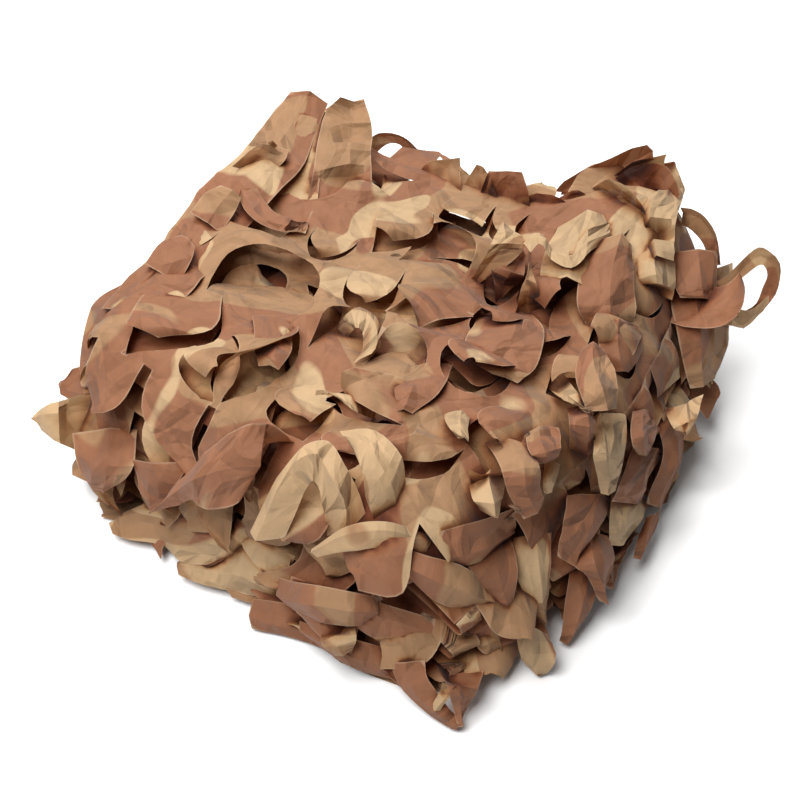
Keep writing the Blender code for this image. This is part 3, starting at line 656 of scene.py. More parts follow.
# Mesh.
CELLS = {TOP: 0.0036, TOP - 1: 0.006, TOP - 2: 0.010}
CELL_HIDDEN = 0.018
CELL_SHIFT = 0.25  # of every second row, as a share of the cell
CELL_JITTER = (-0.12, 0.12)
CLEAR_SHARE = 0.45  # how far points keep off an edge, as a share of the cell
EDGE_STEP = 0.006
COLUMNS = 8
ROWS = 11
ROW_SPREAD = 0.85
SLOT = 0.0006
PROBE = 0.002
CORNER_STEPS = 8
FOLD_STEPS = 5
ON_EDGE = 1e-7
ALMOST = 1e-9
MOUTH_WIDTH = 0.020  # of the cloth beside a cut leaf that moves up with it
MOUTH_WIDTHS = 4  # past the leaf's length, where nothing moves any more
MOUTH_RAMP = (0.1, 0.9)  # of a leaf's length, over which that comes in
ROOT_RAMP = (-0.15, 0.18)  # of a leaf's length, over which its lift comes in
LOWEST = 0.0006  # over the floor
WELD_DIGITS = 7
SHARP_FOLD = math.radians(20)

# Crumple.
WAVE = 0.085  # size of the soft heave of the whole pile
WAVE_RISE = Vector((0.006, 0.006, 0.005))
WAVE_FULL = 0.03  # the height at which the heave has come in
CREASE = 0.055  # size of the cloth's own creases
CREASE_RISE = 0.0040
CREASE_VARIED = 0.5  # how much the creases' height differs from place to place
CREASE_PLACES = 1.7  # the size of those places, as times the creases' own
FINE = 0.022
FINE_RISE = 0.0010
FINE_SHIFT = Vector((3.0, 1.0, 0.0))
HEAVE_SEED = 23  # without it the heave would differ from run to run
RIDGE_MIDDLE = 0.6
FLOOR_SHARE = 0.4  # of the creases' height, at the floor

# How far each place of the cloth is closed in by other cloth, which sets the shade painted into its print.
OPEN_REACH = 0.045  # how far a place on the cloth looks for cloth that shades it
OPEN_RAYS = 12
OPEN_START = 0.0015
EDGE_ON = 0.35  # cloth that stands edge-on to the outside shows both its sides

# The print, in linear colour.
BROWN = (0.255, 0.111, 0.056, 1.0)
TAN = (0.314, 0.180, 0.092, 1.0)
SAND = (0.455, 0.312, 0.174, 1.0)
# Pale cut edges: partly threads that fray, partly a painted highlight where the edges catch the light.
FRAYED_AND_HIGHLIT = (0.560, 0.430, 0.300, 1.0)
FRAYED_AND_HIGHLIT_SHARE = 0.40
FRAYED_AND_HIGHLIT_FROM = 0.78  # how near the cut edge the pale edge of fraying threads and painted highlight begins, from 0 to 1
LIT_THROUGH = (1.0, 0.72, 0.45, 1.0)
LIT_SHARE = 0.22
Patches = namedtuple("Patches", "colour shift scale low high")
PATCHES = (
    Patches(TAN, (4.3, 1.1, 0.0), 8.5, 0.492, 0.505),
    Patches(SAND, (9.7, 3.2, 0.0), 9.5, 0.578, 0.590),
)
PATCH_NOISE = {"Detail": 1.2, "Roughness": 0.45, "Distortion": 0.6}
# Painted shade, times the print's colour: dark deep in the folds where other cloth closes a place in, warmer
# in between as a painted glow of light through the cloth, and plain out in the open.
PAINTED_SHADE_STOPS = (
    (0.36, (0.13, 0.048, 0.023, 1.0)),
    (0.58, (0.47, 0.26, 0.150, 1.0)),
    (0.75, (0.90, 0.75, 0.62, 1.0)),
    (0.90, (1.0, 0.98, 0.96, 1.0)),
)
FADE_NOISE = {"Scale": 60.0, "Detail": 3.0, "Roughness": 0.6}
FADE_FROM = (0.3, 0.7)
FADE = (0.90, 1.08)

# The cloth's finish: facets a metre with the height of the creases between them, and the weave.
Crumple = namedtuple("Crumple", "scale depth")
CRUMPLES = (Crumple(14.0, -0.014), Crumple(30.0, 0.0080), Crumple(70.0, -0.0016))
CRUMPLE_BEND_NOISE = {"Scale": 16.0, "Detail": 1.0}
CRUMPLE_BEND = 0.030
WEAVE_SCALE = 180.0
WEAVE = {"Strength": 0.35, "Distance": 0.00015}
CLOTH_FINISH = {"Roughness": 0.72, "Sheen Weight": 0.06, "Sheen Roughness": 0.5, "Specular IOR Level": 0.25}
MIX_FIRST = 6  # a Mix node's colour sockets, by number
MIX_SECOND = 7
MIXED = 2

# Bar tacks: where the camera sees each, and the thread's sizes.
TACK_PLACES = ((447, 566), (378, 594), (426, 617), (515, 505), (585, 410), (393, 240))
TACK_OUT = 0.014
TACK_SEED = 5
TACK_STITCHES = 9
TACK_INPUTS = (
    ("Thread Radius", "NodeSocketFloat", 0.0004),
    ("Stitch Length", "NodeSocketFloat", 0.007),
    ("Stitches", "NodeSocketInt", TACK_STITCHES),
    ("Spread", "NodeSocketFloat", 0.0016),
    ("Seed", "NodeSocketInt", TACK_SEED),
)
STITCH_BOW = 0.35  # height of a stitch over the cloth, as a share of its length
STITCH_STEPS = 6
STITCH_SWING = (0.15, 0.15, 0.40)  # radians
THREAD_SIDES = 5
THREAD_DARK = (0.110, 0.052, 0.026, 1.0)
THREAD_LIGHT = (0.260, 0.150, 0.085, 1.0)
THREAD_TWIST = {"Scale": 900.0, "Distortion": 1.5}
THREAD_FINISH = {"Roughness": 0.6}

# The studio.
FLOOR_HALF = 6.0
FLOOR_FINISH = {"Base Color": (0.92, 0.92, 0.92, 1.0), "Roughness": 0.6}
SKY = {"Color": (1.0, 1.0, 1.0, 1.0), "Strength": 0.16}
Lamp = namedtuple("Lamp", "name azimuth elevation size power")
LAMPS = (Lamp("key", 222, 62, 1.0, 27.0), Lamp("fill", 352, 60, 0.9, 31.5))
LAMP_DISTANCE = 1.6


def smooth_step(value, low, high):
    """From 0 at the low limit to 1 at the high one, level at both."""
    t = min(max((value - low) / (high - low), 0.0), 1.0)
    return t * t * (3 - 2 * t)


def smooth_between(p0, p1, p2, p3, t):
    """A point of the smooth curve through four points, between the middle two."""
    bend = p1 * 2 + (p2 - p0) * t + (p0 * 2 - p1 * 5 + p2 * 4 - p3) * t * t
    return (bend + (p1 * 3 - p0 - p2 * 3 + p3) * t**3) / 2


def left_line(end, y):
    """The x of a pass's left end, from its x at y = 0."""
    return end + LEFT_SLANT * y + LEFT_BULGE * y * y


def right_line(end, y):
    """The x of a pass's right end, from its x at y = 0."""
    return end - (RIGHT_BULGE_FAR if y > 0 else RIGHT_BULGE_NEAR) * y * y


def end_line(level, y):
    """Where a pass stops: a fold on the right after an even pass, on the left after an odd one."""
    line = right_line if level % 2 == 0 else left_line
    return line(PASSES[level].end, y)


def start_line(level, y):
    """Where a pass starts: at the fold of the pass below it."""
    return left_line(START_LEFT, y) if level == 0 else end_line(level - 1, y)


def near_rim(level, x):
    """The y of a pass's near rim."""
    return PASSES[level].near + NEAR_SLANT * x + NEAR_BULGE * x * x


def far_rim(level, x):
    """The y of a pass's far rim, which swings out to its right corner."""
    row = PASSES[level]
    return row.far + row.corner * smooth_step(x, CORNER_FROM, CORNER_TO)


def pile_top(x, y):
    """Height of the pile's top over a point of the plan, without its lumps."""
    step = smooth_step(x, CORNER_FROM, CORNER_TO)
    left = left_line(SHOULDER_LEFT, y) - x
    right = x - right_line(SHOULDER_RIGHT, y)
    near = SHOULDER_NEAR + NEAR_SLANT * x - y
    far = y - SHOULDER_FAR - PASSES[TOP].corner * step
    out = math.hypot(max(left, right, 0.0), max(near, far, 0.0))
    return HEIGHT * (FALL_TO + (1 - FALL_TO) * math.exp(-((out / FALL_WIDTH) ** 2)))


def lump_height(x, y):
    """How much the lumps add to the pile's top."""
    return sum(
        lump.height * math.exp(-((x - lump.x) ** 2 + (y - lump.y) ** 2) / lump.radius**2)
        for lump in LUMPS
    )


def place(level, x, y):
    """A point of a pass, on the middle of the cloth."""
    share = level / TOP
    z = UNDERSIDE + share * (pile_top(x, y) - UNDERSIDE) + share**LUMP_DEPTH * lump_height(x, y)
    return Vector((x, y, z))


def outline_at(shape, turned, along):
    """Left and right edge of a leaf at a share of its length."""
    rows = SHAPES[shape]
    after = next(number for number, row in enumerate(rows) if number and row.along >= along - ALMOST)
    low, high = rows[after - 1], rows[after]
    first = rows[max(after - 2, 0)]
    last = rows[min(after + 1, len(rows) - 1)]
    t = (along - low.along) / (high.along - low.along)
    left, right = (smooth_between(*four, t) for four in zip(first[1:], low[1:], high[1:], last[1:]))
    return (-right, -left) if turned else (left, right)


# Rows of a leaf, closer together towards its rounded tip.
ALONG = tuple(math.sin(math.pi / 2 * number / ROWS) ** ROW_SPREAD for number in range(ROWS + 1))


class Cloth:
    """The points and faces of the cloth, and where each point lies on the flat, uncut length."""

    def __init__(self):
        self.points = []
        self.flats = []
        self.faces = []
        self.tones = {}

    def add(self, point, flat):
        """A new point, by its number."""
        self.points.append(point)
        self.flats.append(flat)
        return len(self.points) - 1

    def add_grid(self, rows):
        """The faces between rows of points."""
        for low, high in zip(rows, rows[1:]):
            for left in range(len(low) - 1):
                self.faces.append((low[left], low[left + 1], high[left + 1], high[left]))


def flat_of(level, x, y):
    """A point of a pass on the flat cloth: across its width, and along its length."""
    return (y, PASS_START[level] + (x if level % 2 == 0 else -x))


def leaf_frame(leaf):
    """Root centre, heading and across direction of a cut leaf, in the plan."""
    angle = math.radians(leaf.heading)
    along = Vector((math.cos(angle), math.sin(angle)))
    return Vector((leaf.x, leaf.y)), along, Vector((along.y, -along.x))


def mouth_rise(leaf, x, y):
    """How far the cloth beside a cut leaf has moved up, towards the leaf's tip."""
    centre, along, across = leaf_frame(leaf)
    offset = Vector((x, y)) - centre
    reach = offset.dot(along)
    if reach <= 0 or offset.length > leaf.length + MOUTH_WIDTHS * MOUTH_WIDTH:
        return 0.0
    side = max(abs(offset.dot(across)) - leaf.width / 2, 0.0)
    beyond = max(reach - leaf.length, 0.0)
    fade = math.exp(-((side / MOUTH_WIDTH) ** 2) - (beyond / MOUTH_WIDTH) ** 2)
    return leaf.mouth * smooth_step(reach / leaf.length, *MOUTH_RAMP) * fade


def surface(level, leaves, x, y):
    """A point of a pass, moved up beside its cut leaves."""
    point = place(level, x, y)
    point.z += sum(mouth_rise(leaf, x, y) for leaf in leaves)
    return point


def hole_outline(leaf):
    """The opening that a cut leaf leaves, from its root's right end round its tip."""
    centre, along, across = leaf_frame(leaf)
    shares = [0.5 - number / COLUMNS for number in range(COLUMNS + 1)]
    points = [centre + across * (share * leaf.width) for share in shares]
    edges = [outline_at(leaf.shape, leaf.turned, row) for row in ALONG[1:]]
    reach = leaf.length + leaf.gape
    for row, (left, _) in zip(ALONG[1:], edges):
        points.append(centre + along * (row * reach) + across * (left * leaf.width - SLOT))
    for row, (_, right) in reversed(list(zip(ALONG[1:], edges))):
        points.append(centre + along * (row * reach) + across * (right * leaf.width + SLOT))
    return [tuple(point) for point in points]


Bend = namedtuple("Bend", "lift curl twist lean cup")
Size = namedtuple("Size", "width length shape turned")


def add_leaf(cloth, level, leaves, roots, outward, size, bend):
    """A leaf from its root points to its tip."""
    first, last = roots[0], roots[-1]
    across = (last - first).normalized()
    centre = (first + last) / 2
    here = surface(level, leaves, centre.x, centre.y)
    ahead = surface(level, leaves, centre.x + outward.x * PROBE, centre.y + outward.y * PROBE)
    tangent = (ahead - here).normalized()
    side = across.to_3d()
    side = (side - tangent * side.dot(tangent)).normalized()
    normal = side.cross(tangent)
    if normal.z < 0:
        normal = -normal
    starts = [surface(level, leaves, root.x, root.y) for root in roots]
    rows = [[cloth.add(start, flat_of(level, *root)) for start, root in zip(starts, roots)]]
    count = len(roots) - 1
    reach = [Vector((0.0, 0.0, 0.0)) for _ in roots]
    for before, row in zip(ALONG, ALONG[1:]):
        left, right = outline_at(size.shape, size.turned, row)
        middle = (before + row) / 2
        step = (row - before) * size.length
        line = []
        for column, (start, root) in enumerate(zip(starts, roots)):
            part = column / count
            share = left + (right - left) * part
            turn = bend.twist * (2 * part - 1) * middle
            ramp = smooth_step(middle, *ROOT_RAMP)
            angle = math.radians(bend.lift * ramp + bend.curl * middle + turn)
            reach[column] += (tangent * math.cos(angle) + normal * math.sin(angle)) * step
            sideways = (share - (part - 0.5)) * size.width + bend.lean * row * row
            cup = normal * (bend.cup * row * (1 - (2 * part - 1) ** 2))
            point = start + reach[column] + side * sideways + cup
            plan = root + across * sideways + outward * (row * size.length)
            line.append(cloth.add(point, flat_of(level, plan.x, plan.y)))
        rows.append(line)
    cloth.add_grid(rows)


def add_cut_leaf(cloth, level, leaves, leaf):
    """A leaf cut inside a pass, on its own place."""
    centre, along, across = leaf_frame(leaf)
    shares = [number / COLUMNS - 0.5 for number in range(COLUMNS + 1)]
    roots = [centre + across * (share * leaf.width) for share in shares]
    size = Size(leaf.width, leaf.length, leaf.shape, leaf.turned)
    bend = Bend(leaf.lift, leaf.curl, leaf.twist, 0.0, CUT_CUP)
    add_leaf(cloth, level, leaves, roots, along, size, bend)


OUTWARD = {
    "near": Vector((0.0, -1.0)),
    "far": Vector((0.0, 1.0)),
    "right": Vector((1.0, 0.0)),
    "left": Vector((-1.0, 0.0)),
}


def pass_ends(level):
    """The lines of a pass's left end and right end."""
    ends = (start_line, end_line) if level % 2 == 0 else (end_line, start_line)
    return dict(zip(("left", "right"), ends))


def pass_folds(level):
    """Which fold is at each end of a pass, or None at a free end."""
    before = level - 1 if level > 0 else None
    after = level if level < TOP else None
    return dict(zip(("left", "right"), (before, after) if level % 2 == 0 else (after, before)))


def pass_start(level):
    """Where x = 0 of a pass lies along the flat cloth."""
    at = 0.0
    for number in range(level):
        at += 2 * end_line(number, 0.0) if number % 2 == 0 else -2 * end_line(number, 0.0)
        at += FOLD_ROUND
    return at


PASS_START = [pass_start(level) for level in range(TOP + 1)]


def corner(level, end, rim):
    """A pass's corner in the plan, where its end's line meets its rim."""
    line = pass_ends(level)[end]
    edge = near_rim if rim == "near" else far_rim
    y = 0.0
    for _ in range(CORNER_STEPS):
        y = edge(level, line(level, y))
    return Vector((line(level, y), y))


def rim_point(level, rim, at):
    """A point of a pass's edge: of a near or far rim by its x, of a left or right end by its y."""
    if rim in ("left", "right"):
        return Vector((pass_ends(level)[rim](level, at), at))
    return Vector((at, near_rim(level, at) if rim == "near" else far_rim(level, at)))


Root = namedtuple("Root", "low high level size bend")


def root_places(root):
    """Where each column of a leaf starts along its rim."""
    return [root.low + (root.high - root.low) * number / COLUMNS for number in range(COLUMNS + 1)]


def flap_roots(places):
    """The roots of the flaps on some rims, each given as its level and its name."""
    for flap in FLAPS:
        if (flap.level, flap.rim) in places:
            half = flap.width / 2
            bend = Bend(flap.lift, flap.curl, flap.twist, flap.lean, FLAP_CUP)
            size = Size(flap.width, flap.length, flap.shape, flap.turned)
            yield Root(flap.at - half, flap.at + half, flap.level, size, bend)


def add_if_room(roots, root):
    """Takes a random leaf in where it keeps clear of those there already."""
    if all(root.high + LEAF_SPACE < other.low or other.high + LEAF_SPACE < root.low for other in roots):
        roots.append(root)


def random_root(low, width, level, rim, lengths, chance):
    """A leaf that hangs from a rim, shorter and flatter low in the pile."""
    share = level / TOP
    bend_share = LOW_BEND + (1 - LOW_BEND) * share
    bend = Bend(
        chance.uniform(*HANGS[rim].lift) * bend_share,
        chance.uniform(*HANGS[rim].curl) * bend_share,
        chance.uniform(*TWIST),
        chance.uniform(-LEAN, LEAN) * width,
        chance.uniform(*CUP),
    )
    shape = chance.choice(SHAPE_NAMES)
    turned = chance.random() < TURNED_SHARE
    length = chance.uniform(*lengths) * (LOW_LENGTH + (1 - LOW_LENGTH) * share)
    return Root(low, low + width, level, Size(width, length, shape, turned), bend)


def in_order(roots):
    """Leaves along a rim, by their place on it."""
    return sorted(roots, key=lambda root: root.low)


def rim_roots(level, rim, chance):
    """The leaves along a near or far rim, from left to right."""
    roots = list(flap_roots({(level, rim)}))
    low = corner(level, "left", rim).x + RIM_MARGIN
    high = corner(level, "right", rim).x - RIM_MARGIN
    # Rounded down in every second pass, so that the leaves of two passes don't stand in line.
    count = int((high - low) / RIM_PITCH + (0.5 if level % 2 else 0.0))
    pitch = (high - low) / count
    for number in range(count):
        width = min(chance.uniform(*RIM_WIDTH), pitch - LEAF_SPACE)
        left = low + number * pitch + chance.uniform(0.0, pitch - width)
        add_if_room(roots, random_root(left, width, level, rim, RIM_LENGTH, chance))
    return in_order(roots)


def fold_side(fold):
    """The side of the pile that a fold is on."""
    return "right" if fold % 2 == 0 else "left"


def fold_limits(fold):
    """A fold's near and far end, along y, where both its passes reach."""
    side = fold_side(fold)
    near = max(corner(fold, side, "near").y, corner(fold + 1, side, "near").y)
    far = min(corner(fold, side, "far").y, corner(fold + 1, side, "far").y)
    return near, far


def fold_roots(fold, chance):
    """The leaves cut across a fold, from near to far."""
    side = fold_side(fold)
    roots = list(flap_roots({(fold, side), (fold + 1, side)}))
    low, high = fold_limits(fold)
    low += RIM_MARGIN
    high -= RIM_MARGIN
    low += chance.uniform(0.0, FOLD_SPACE[0])
    while low + FOLD_WIDTH[1] < high:
        width = chance.uniform(*FOLD_WIDTH)
        level = fold + 1 if chance.random() < UPPER_SHARE else fold
        add_if_room(roots, random_root(low, width, level, side, FOLD_LENGTH, chance))
        low += width + chance.uniform(*FOLD_SPACE)
    return in_order(roots)


def filled(low, high, roots):
    """Places along an edge: each leaf's columns, and even steps between the leaves."""
    stops = [(low, low)] + [(root.low, root.high) for root in roots] + [(high, high)]
    found = []
    for number, (before, after) in enumerate(zip(stops, stops[1:])):
        gap = after[0] - before[1]
        count = max(int(gap / EDGE_STEP), 1)
        found += [before[1] + gap * step / count for step in range(1, count)]
        if number < len(roots):
            found += root_places(roots[number])
    return found


Fold = namedtuple("Fold", "roots places")


def new_fold(fold, chance):
    """A fold's leaves, and the places along it that both its passes share."""
    roots = fold_roots(fold, chance)
    return Fold(roots, filled(*fold_limits(fold), roots))


def end_places(level, end, ends):
    """The places along a pass's left or right end, those of its fold where it has one."""
    fold = pass_folds(level)[end]
    if fold is None:
        return filled(corner(level, end, "near").y, corner(level, end, "far").y, ends[level, end])
    return ends[fold].places


def pass_outline(level, rims, ends):
    """A pass's edge in the plan, anticlockwise from its near left corner."""
    line = []
    for rim, sides in (("near", ("left", "right")), ("far", ("right", "left"))):
        xs = filled(corner(level, "left", rim).x, corner(level, "right", rim).x, rims[rim])
        ys = end_places(level, sides[1], ends)
        if rim == "far":
            xs = xs[::-1]
            ys = ys[::-1]
        line.append(corner(level, sides[0], rim))
        line += [rim_point(level, rim, x) for x in xs]
        line.append(corner(level, sides[1], rim))
        line += [rim_point(level, sides[1], y) for y in ys]
    return [tuple(point) for point in line]


def contains(polygon, points):
    """Which of many points lie in a polygon."""
    x, y = points[:, 0], points[:, 1]
    found = np.zeros(len(points), bool)
    for (x0, y0), (x1, y1) in zip(polygon, polygon[1:] + polygon[:1]):
        if y0 != y1:
            crosses = (y0 > y) != (y1 > y)
            found ^= crosses & (x < x0 + (y - y0) * (x1 - x0) / (y1 - y0))
    return found


def on_cloth(points, outline, holes):
    """Which of many points lie on a pass and in none of its holes."""
    found = contains(outline, points)
    for hole in holes:
        found &= ~contains(hole, points)
    return found


def inner_points(level, outline, holes, chance):
    """Points that carry a pass's shape between its edge and its cuts, a little off a grid."""
    cell = CELLS.get(level, CELL_HIDDEN)
    edge = np.array(outline + [point for hole in holes for point in hole])
    low, high = edge.min(0), edge.max(0)
    count_x, count_y = ((high - low) / cell).astype(int)
    found = []
    for row in range(count_y):
        shift = CELL_SHIFT if row % 2 else -CELL_SHIFT
        for column in range(count_x):
            x = low[0] + (column + 0.5 + shift + chance.uniform(*CELL_JITTER)) * cell
            y = low[1] + (row + 0.5 + chance.uniform(*CELL_JITTER)) * cell
            found.append((x, y))
    points = np.array(found)
    points = points[on_cloth(points, outline, holes)]
    near = np.array([((edge - point) ** 2).sum(1).min() for point in points])
    return [tuple(point) for point in points[near > (cell * CLEAR_SHARE) ** 2]]


def add_pass(cloth, level, outline, leaves, chance):
    """The cloth of one pass, with a hole for each cut leaf, and the leaves."""
    holes = [hole_outline(leaf) for leaf in leaves]
    points = []
    edges = []
    for loop in [outline] + holes:
        first = len(points)
        count = len(loop)
        points += loop
        edges += [(first + number, first + (number + 1) % count) for number in range(count)]
    points += inner_points(level, outline, holes, chance)
    flat, _, faces, *_ = delaunay_2d_cdt([Vector(point) for point in points], edges, [], 0, ON_EDGE)
    middles = np.array([sum((flat[end] for end in face), Vector((0, 0))) / len(face) for face in faces])
    made = [
        cloth.add(surface(level, leaves, point.x, point.y), flat_of(level, point.x, point.y))
        for point in flat
    ]
    for face, kept in zip(faces, on_cloth(middles, outline, holes)):
        if kept:
            cloth.faces.append(tuple(made[end] for end in face))
    for leaf in leaves:
        add_cut_leaf(cloth, level, leaves, leaf)


def fold_arc(fold, low, high, outward):
    """Points of the cloth round a fold, from the lower pass to the upper one."""
    lower = place(fold, *low)
    upper = place(fold + 1, *high)
    middle = (lower + upper) / 2
    rise = (upper - lower) / 2
    ahead = place(fold, low[0] + outward * PROBE, low[1]) - lower
    reach = ahead.normalized() * (rise.length * FOLD_REACH)
    angles = [math.pi * step / FOLD_STEPS for step in range(FOLD_STEPS + 1)]
    return [middle + reach * math.sin(angle) - rise * math.cos(angle) for angle in angles]


def add_fold(cloth, fold, made):
    """The cloth round a fold, left out where a leaf is cut across it."""
    end = fold_side(fold)
    pairs = [(corner(fold, end, "near"), corner(fold + 1, end, "near"))]
    pairs += [(rim_point(fold, end, y),) * 2 for y in made.places]
    pairs.append((corner(fold, end, "far"), corner(fold + 1, end, "far")))
    rows = []
    for low, high in pairs:
        across, along = flat_of(fold, low.x, low.y)
        row = []
        for step, point in enumerate(fold_arc(fold, low, high, OUTWARD[end].x)):
            row.append(cloth.add(point, (across, along + FOLD_ROUND * step / FOLD_STEPS)))
        rows.append(row)
    for low, high, row, following in zip(pairs, pairs[1:], rows, rows[1:]):
        middle = (low[0].y + high[0].y) / 2
        if not any(root.low < middle < root.high for root in made.roots):
            cloth.add_grid([row, following])


def random_leaf(x, y, heading, cut, chance):
    """A cut leaf at a place, its other sizes drawn from the ranges of its kind."""
    sizes = [chance.uniform(*limits) for limits in cut]
    return Leaf(x, y, heading, *sizes, chance.choice(SHAPE_NAMES), chance.random() < TURNED_SHARE)


def inner_leaves(level, chance):
    """Leaves cut all over a pass just below the top."""
    found = []
    y = PASSES[level].near + INNER_NEAR
    line = 0
    while y < PASSES[level].far - INNER_FAR:
        x = INNER_X[0] + (INNER_PITCH / 2 if line % 2 else 0.0)
        while x < INNER_X[1]:
            heading = -90 + chance.uniform(*INNER_TURN) + (180 if chance.random() < INNER_BACK_SHARE else 0)
            leaf = random_leaf(x, y, heading, INNER_CUT, chance)
            shift = leaf_frame(leaf)[1] * -leaf.length / 2
            found.append(leaf._replace(x=x + shift.x, y=y + shift.y))
            x += INNER_PITCH
        y += INNER_PITCH * INNER_ROWS
        line += 1
    return found


def filling_leaves(chance):
    """Small leaves that may fill the cloth between the top pass's own ones, the largest first."""
    found = []
    for _ in range(FILLING):
        raised = chance.random() < RAISED_SHARE
        x = chance.uniform(*FILLING_X)
        y = chance.uniform(*FILLING_Y)
        heading = (90 if raised else -90) + chance.uniform(*FILLING_TURN)
        found.append(random_leaf(x, y, heading, RAISED_CUT if raised else HANGING_CUT, chance))
    return sorted(found, key=lambda leaf: -leaf.width * leaf.length)


def apart(leaves, outline, kept):
    """The leaves whose holes keep clear of the pass's edge and of those kept before them."""
    edges = [np.array(outline)] + [np.array(hole_outline(leaf)) for leaf in kept]
    found = []
    for leaf in leaves:
        hole = np.array(hole_outline(leaf))
        if not contains(outline, hole).all():
            continue
        if any(contains([tuple(point) for point in edge], hole).any() for edge in edges[1:]):
            continue
        gaps = [np.hypot(*(hole[:, None] - edge[None]).T).min() for edge in edges]
        if min(gaps) > BRIDGE:
            edges.append(hole)
            found.append(leaf)
    return found


def cut_leaves(level, outline, chance):
    """The leaves cut inside a pass: none low in the pile, where they would not show."""
    if level == TOP:
        return TOP_LEAVES + tuple(apart(filling_leaves(chance), outline, TOP_LEAVES))
    if level >= TOP - INNER_PASSES:
        return tuple(apart(inner_leaves(level, chance), outline, ()))
    return ()


def add_rim_leaves(cloth, rim, leaves, roots):
    """The leaves that hang from a rim or are cut across a fold."""
    for root in roots:
        ends = [rim_point(root.level, rim, at) for at in root_places(root)]
        add_leaf(cloth, root.level, leaves, ends, OUTWARD[rim], root.size, root.bend)


def build_cloth():
    """All passes with their folds and leaves, and the long free leaves on them."""
    chance = random.Random(SEED)
    cloth = Cloth()
    ends = {fold: new_fold(fold, chance) for fold in range(TOP)}
    free = ((0, "left"), (TOP, "left"))
    for free_end in free:
        ends[free_end] = in_order(flap_roots({free_end}))
    for level in range(TOP + 1):
        rims = {rim: rim_roots(level, rim, chance) for rim in ("near", "far")}
        outline = pass_outline(level, rims, ends)
        leaves = cut_leaves(level, outline, chance)
        add_pass(cloth, level, outline, leaves, chance)
        for rim, roots in rims.items():
            add_rim_leaves(cloth, rim, leaves, roots)
    for fold in range(TOP):
        add_fold(cloth, fold, ends[fold])
        add_rim_leaves(cloth, fold_side(fold), (), ends[fold].roots)
    for level, end in free:
        add_rim_leaves(cloth, end, TOP_LEAVES if level == TOP else (), ends[level, end])
    pile = BVHTree.FromPolygons(cloth.points, cloth.faces)
    for number, band in enumerate(BANDS):
        row, column = divmod(number, BAND_FLATS)
        flat_start = (
            BAND_FLAT_FROM[0] + column * BAND_FLAT_STEP[0],
            BAND_FLAT_FROM[1] + row * BAND_FLAT_STEP[1],
        )
        add_band(cloth, pile, band, flat_start, BAND_CREASES[number % len(BAND_CREASES)])
    return cloth


def along_curve(points, share):
    """A point of the smooth line through some points, at a share of their count."""
    at = share * (len(points) - 1)
    number = min(int(at), len(points) - 2)
    p1, p2 = points[number], points[number + 1]
    p0 = points[number - 1] if number else p1 * 2 - p2
    p3 = points[number + 2] if number + 2 < len(points) else p2 * 2 - p1
    return smooth_between(p0, p1, p2, p3, at - number)


def towards(azimuth, elevation):
    """The direction from the middle of the scene to a camera or a lamp."""
    flat = math.cos(elevation)
    return Vector((math.sin(azimuth) * flat, -math.cos(azimuth) * flat, math.sin(elevation)))


def reach_of(face, eye, sight, out):
    """How far along a line of sight a face lies, this far out from the middle."""
    return (out - face.way.dot(eye)) / face.way.dot(sight)


def seen_place(x, y, kind, depth):
    """The place that the camera sees at a dot of its picture, at a depth of a kind."""
    back = towards(AZIMUTH, ELEVATION)
    right = Vector((math.cos(AZIMUTH), math.sin(AZIMUTH), 0.0))
    dots = PICTURE * LENS / SENSOR
    middle = PICTURE / 2
    eye = AIM + back * DISTANCE
    sight = right * ((x - middle) / dots) - back.cross(right) * ((y - middle) / dots) - back
    if kind == "height":
        return eye + sight * ((depth - eye.z) / sight.z)
    if kind == "y":
        return eye + sight * ((depth - eye.y) / sight.y)
    depth += OUT_MORE
    reaches = [reach_of(face, eye, sight, face.out + depth) for face in (NEAR_FACE, TOP_FACE)]
    level_reach = reach_of(RIGHT_FACE, eye, sight, RIGHT_FACE.out + depth)
    bulged = right_line(RIGHT_FACE.out + depth, (eye + sight * level_reach).y)
    reaches.append(reach_of(RIGHT_FACE, eye, sight, bulged))
    furthest = max(reaches)
    rounded = sum(math.exp((reach - furthest) / FACE_ROUNDING) for reach in reaches)
    return eye + sight * (furthest + FACE_ROUNDING * math.log(rounded))


def rooted(edges, pile):
    """A band's edges, its wider end brought down along the camera's sight onto the cloth."""
    eye = AIM + towards(AZIMUTH, ELEVATION) * DISTANCE
    widths = [(second - first).length for first, second in zip(*edges)]
    root = 0 if widths[0] >= widths[-1] else -1
    for edge in edges:
        sight = (edge[root] - eye).normalized()
        hit = pile.ray_cast(eye, sight)
        if hit[0] and ROOT_NEAR < hit[3] - (edge[root] - eye).length < ROOT_REACH:
            edge[root] = hit[0] + sight * ROOT_DEPTH
    return edges


def band_edges(band):
    """The points of a band's two edges, off the floor."""
    edges = ([], [])
    for line in band.lines:
        ends = ((line.x0, line.y0, line.depth0), (line.x1, line.y1, line.depth1))
        for edge, (x, y, depth) in zip(edges, ends):
            point = seen_place(x, y, band.depth, depth * MILLIMETRE)
            point.z = max(point.z, SHEET)
            edge.append(point)
    return edges


